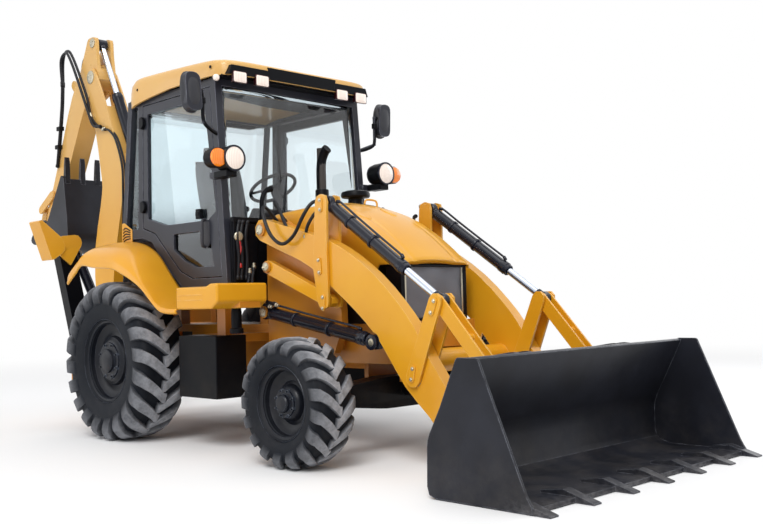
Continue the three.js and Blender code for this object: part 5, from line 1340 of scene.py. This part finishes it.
# Pin caps and keepers.


# A stepped disc with bolts through it, standing on the outer face.
def pinCap(centre, s, radius, bolts=2, turn=0.6):
    disc = lathe([(radius, 0), (radius, 7), (radius - 6, 11), (radius * 0.5, 12), (4, 12)],
                 centre, (0, s, 0), 32)
    spots = [np.array(centre) + [radius * 0.52 * math.cos(turn + k * 2 * np.pi / bolts), s * 11,
                                 radius * 0.52 * math.sin(turn + k * 2 * np.pi / bolts)]
             for k in range(bolts)]
    return gather(disc, *[boltHead(p, (0, s, 0), 8, 7) for p in spots])


# A bar between two bolts over a pin's end: a slotted outline round the spots, raised off the face.
def keeper(spots, s, y, width=30.0):
    a, b = (np.array(p, float) for p in spots)
    along = (b - a) / np.linalg.norm(b - a)
    side = np.array([-along[1], along[0]])
    turn = np.linspace(-np.pi / 2, np.pi / 2, 9)
    ends = [b + width / 2 * (np.cos(t) * along + np.sin(t) * side) for t in turn] + \
           [a - width / 2 * (np.cos(t) * along + np.sin(t) * side) for t in turn]
    bar = plate(np.array(ends), "y", *sorted((s * y, s * (y + 9))))
    return bar, gather(*[boltHead((p[0], s * (y + 9), p[1]), (0, s, 0), 10, 9) for p in (a, b)])


for side, s in sides.items():
    framePins = gather(pinCap((1430, s * 590, 1600), s, 37, 2, 0.9),
                       pinCap((1465, s * 568, 1325), s, 34, 2, 0.3),
                       pinCap((1422, s * 568, 997), s, 36, 1, 0.0))
    makePiece(f"frame_pin_caps_{side}", framePins, "zincPin", "chassis")
    rearBars = [keeper(spots, s, 594, 36)
                for spots in (((2090, 1346), (2094, 1262)),
                              ((2125, 1092), (2122, 1016)), ((2116, 1756), (2116, 1690)))]
    frontBars = [keeper(spots, s, 594, 40)
                 for spots in (((3140, 1048), (3112, 978)), ((2948, 632), (2934, 566)))]
    for body, bars in (("rear_levers", rearBars), ("front_levers", frontBars)):
        makePiece(f"{body}_keepers_{side}", gather(*[bar[0] for bar in bars]), "yellowPaint",
                  body, bevel=2)
        makePiece(f"{body}_bolts_{side}", gather(*[bar[1] for bar in bars]), "zincPin", body)
    makePiece(f"bucket_pin_caps_{side}", gather(pinCap((3291, s * 594, 174), s, 38, 3),
                                                pinCap((3493, s * 594, 652), s, 34, 2)),
              "zincPin", "loader_bucket")
    boss = lathe([(26, 0), (46, 0), (50, 4), (50, 16), (44, 20), (30, 21), (30, 12),
                  (6, 12)], (2566, s * 571, 790), (0, s, 0), 36)
    makePiece(f"lift_pin_boss_{side}", boss, "blackGloss", "loader_arms")
    makePiece(f"lift_pin_{side}", pinCap((2566, s * 578, 790), s, 27, 1, 0.4), "zincPin",
              "loader_arms")
for s in (1, -1):
    tag = "left" if s > 0 else "right"
    makePiece(f"boom_tip_caps_{tag}", pinCap((-1883, s * 125, 3391), s, 66, 3), "zincPin", "boom")
    makePiece(f"boom_foot_caps_{tag}", gather(pinCap((-1630, s * 161, 760), s, 62, 3),
                                              pinCap((-1420, s * 161, 1100), s, 50, 2)),
              "zincPin", "swing_post")
    makePiece(f"dipper_caps_{tag}", gather(pinCap((-1883, s * 100, 3745), s, 48, 2),
                                           pinCap((-2900, s * 164, 1960), s, 44, 3)), "zincPin",
              "dipper")
print("stage: pins")

# Hoses and pipes.
for side, s in sides.items():
    y = s * armMiddle
    hoses = gather(hose([(1470, s * 430, 1640), (1472, s * 560, 1760),
                         (1500, s * 612, 1720), (1590, s * 622, 1560),
                         (1722, s * 622, 1478), (1850, s * 618, 1530),
                         (1950, s * 612, 1660), (1985, s * 560, 1748), (2040, s * 500, 1770)], 13, 60),
                   hose([(1540, s * 430, 1650), (1556, s * 545, 1790),
                         (1600, s * 552, 1760), (1686, s * 548, 1610), (1760, s * 530, 1500)], 12, 44),
                   hose([(2010, s * 470, 1700), (1960, s * 500, 1690),
                         (1925, s * 548, 1600), (1905, s * 556, 1520)], 12, 30),
                   hose([(1262, s * 560, 1290), (1290, s * 600, 1180),
                         (1360, s * 608, 1105), (1450, s * 600, 1060), (1512, s * 575, 1042)], 12, 36),
                   hose([(1262, s * 520, 1330), (1310, s * 575, 1200),
                         (1400, s * 590, 1110), (1500, s * 580, 1070), (1570, s * 560, 1050)], 12, 36))
    ends = [((1512, s * 575, 1040), (1, 0, -0.3)), ((1570, s * 560, 1048), (1, 0, -0.3)),
            ((1905, s * 556, 1512), (-0.2, 0, -1)), ((1262, s * 560, 1300), (0, 0, 1)),
            ((1262, s * 520, 1340), (0, 0, 1)), ((2050, s * 500, 1772), (1, 0, 0))]
    collar = [(10, -24), (17, -20), (17, 2), (13, 6), (13, 22), (9, 26)]
    fittings = gather(*[lathe(collar, spot, way, 12) for spot, way in ends])
    makePiece(f"hose_fittings_{side}", fittings, "zincPin", "chassis")
    makePiece(f"arm_hoses_{side}", hoses, "hoseRubber", "chassis")
    base, end = np.array([2120, y, 1738.0]), np.array([3140, y, 1048.0])
    along = (end - base) / np.linalg.norm(end - base)
    up = np.array([-along[2], 0, along[0]])
    pipe = [base + along * a + up * h for a, h in ((70, 52), (110, 66), (300, 62), (560, 60),
                                                   (780, 60), (812, 52))]
    clampSpots = [base + along * a for a in (260, 520)]
    makePiece(f"tilt_pipe_{side}", gather(hose(pipe, 8, 40),
                                          *[lathe([(43, -11), (46, -11), (48, -8), (48, 8),
                                                   (46, 11), (43, 11)], c, along, 28, closed=True)
                                            for c in clampSpots]), "blackGloss",
              "tilt_barrels")
    base, end = np.array([1422, y, 997.0]), np.array([2566, y, 790.0])
    along = (end - base) / np.linalg.norm(end - base)
    up = np.array([-along[2], 0, along[0]])
    pipe = [base + along * a + up * h for a, h in ((80, 50), (130, 66), (420, 62), (780, 62),
                                                   (960, 62), (1000, 54))]
    makePiece(f"lift_pipe_{side}", gather(hose(pipe, 8, 40),
                                          *[lathe([(46, -11), (49, -11), (51, -8), (51, 8),
                                                   (49, 11), (46, 11)], base + along * a, along, 28,
                                                  closed=True) for a in (330, 700)]),
              "blackGloss", "lift_barrels")
for side, s in sides.items():
    boomHoses = gather(*[hose([(-1330, y, 1300), (-1290, y * 1.3, 1700),
                               (-1250, y * 1.5, 2150), (-1262, y * 1.5, 2420),
                               (-1380, y * 1.45, 2680), (-1500, y * 1.42, 2790), (-1600, y * 1.4, 2822)],
                              11, 60) for y in (s * 98, s * 78)])
    makePiece(f"boom_hoses_{side}", boomHoses, "hoseRubber", "boom")
    crossing = gather(*[hose([(-1600 - k, s * (138 + k), 2822 + k),
                              (-1740 - k, s * (142 + k), 2880),
                              (-1860, s * (142 + k), 2990 + k),
                              (-1940 - k, s * (142 + k), 3200),
                              (-2130 - k, s * (140 + k), 3520),
                              (-2260 - k, s * (134 + k), 3690),
                              (-2350, s * (126 + k), 3752 - k),
                              (-2440, s * (118 + k), 3740 - k),
                              (-2492, s * (112 + k), 3640), (-2500 + k, s * (108 + k), 3420)], 14, 90)
                        for k in (0, 26)])
    makePiece(f"elbow_hoses_{side}", crossing, "hoseRubber", "dipper")
    run = gather(*[hose([(-2500 + k, s * (108 + k), 3424),
                         (-2520 + k, s * (106 + k), 3200),
                         (-2560 + k, s * (106 + k), 2960),
                         (-2610 + k, s * (106 + k), 2700), (-2650 + k, s * (100 + k), 2560)], 14, 50)
                   for k in (0, 26)])
    makePiece(f"dipper_hoses_{side}", run, "hoseRubber", "dipper")
    clamps = gather(*[block(x - 30, x + 42, *sorted((s * 96, s * 152)), z - 22, z + 22) for x,
                      z in ((-2556, 2960), (-2594, 2770))])
    makePiece(f"dipper_clamps_{side}", clamps, "blackSatin", "dipper", bevel=5)
    swivel = gather(*[lathe([(11, -26), (19, -22), (19, 4), (14, 8), (14, 26), (10, 30)], spot, way, 14)
                      for spot, way in (((-1862, s * 142, 2996), (-0.4, 0, 1)),
                                        ((-1610, s * 140, 2824), (1, 0, 0.1)))])
    makePiece(f"boom_fittings_{side}", swivel, "zincPin", "boom")
print("stage: hoses")
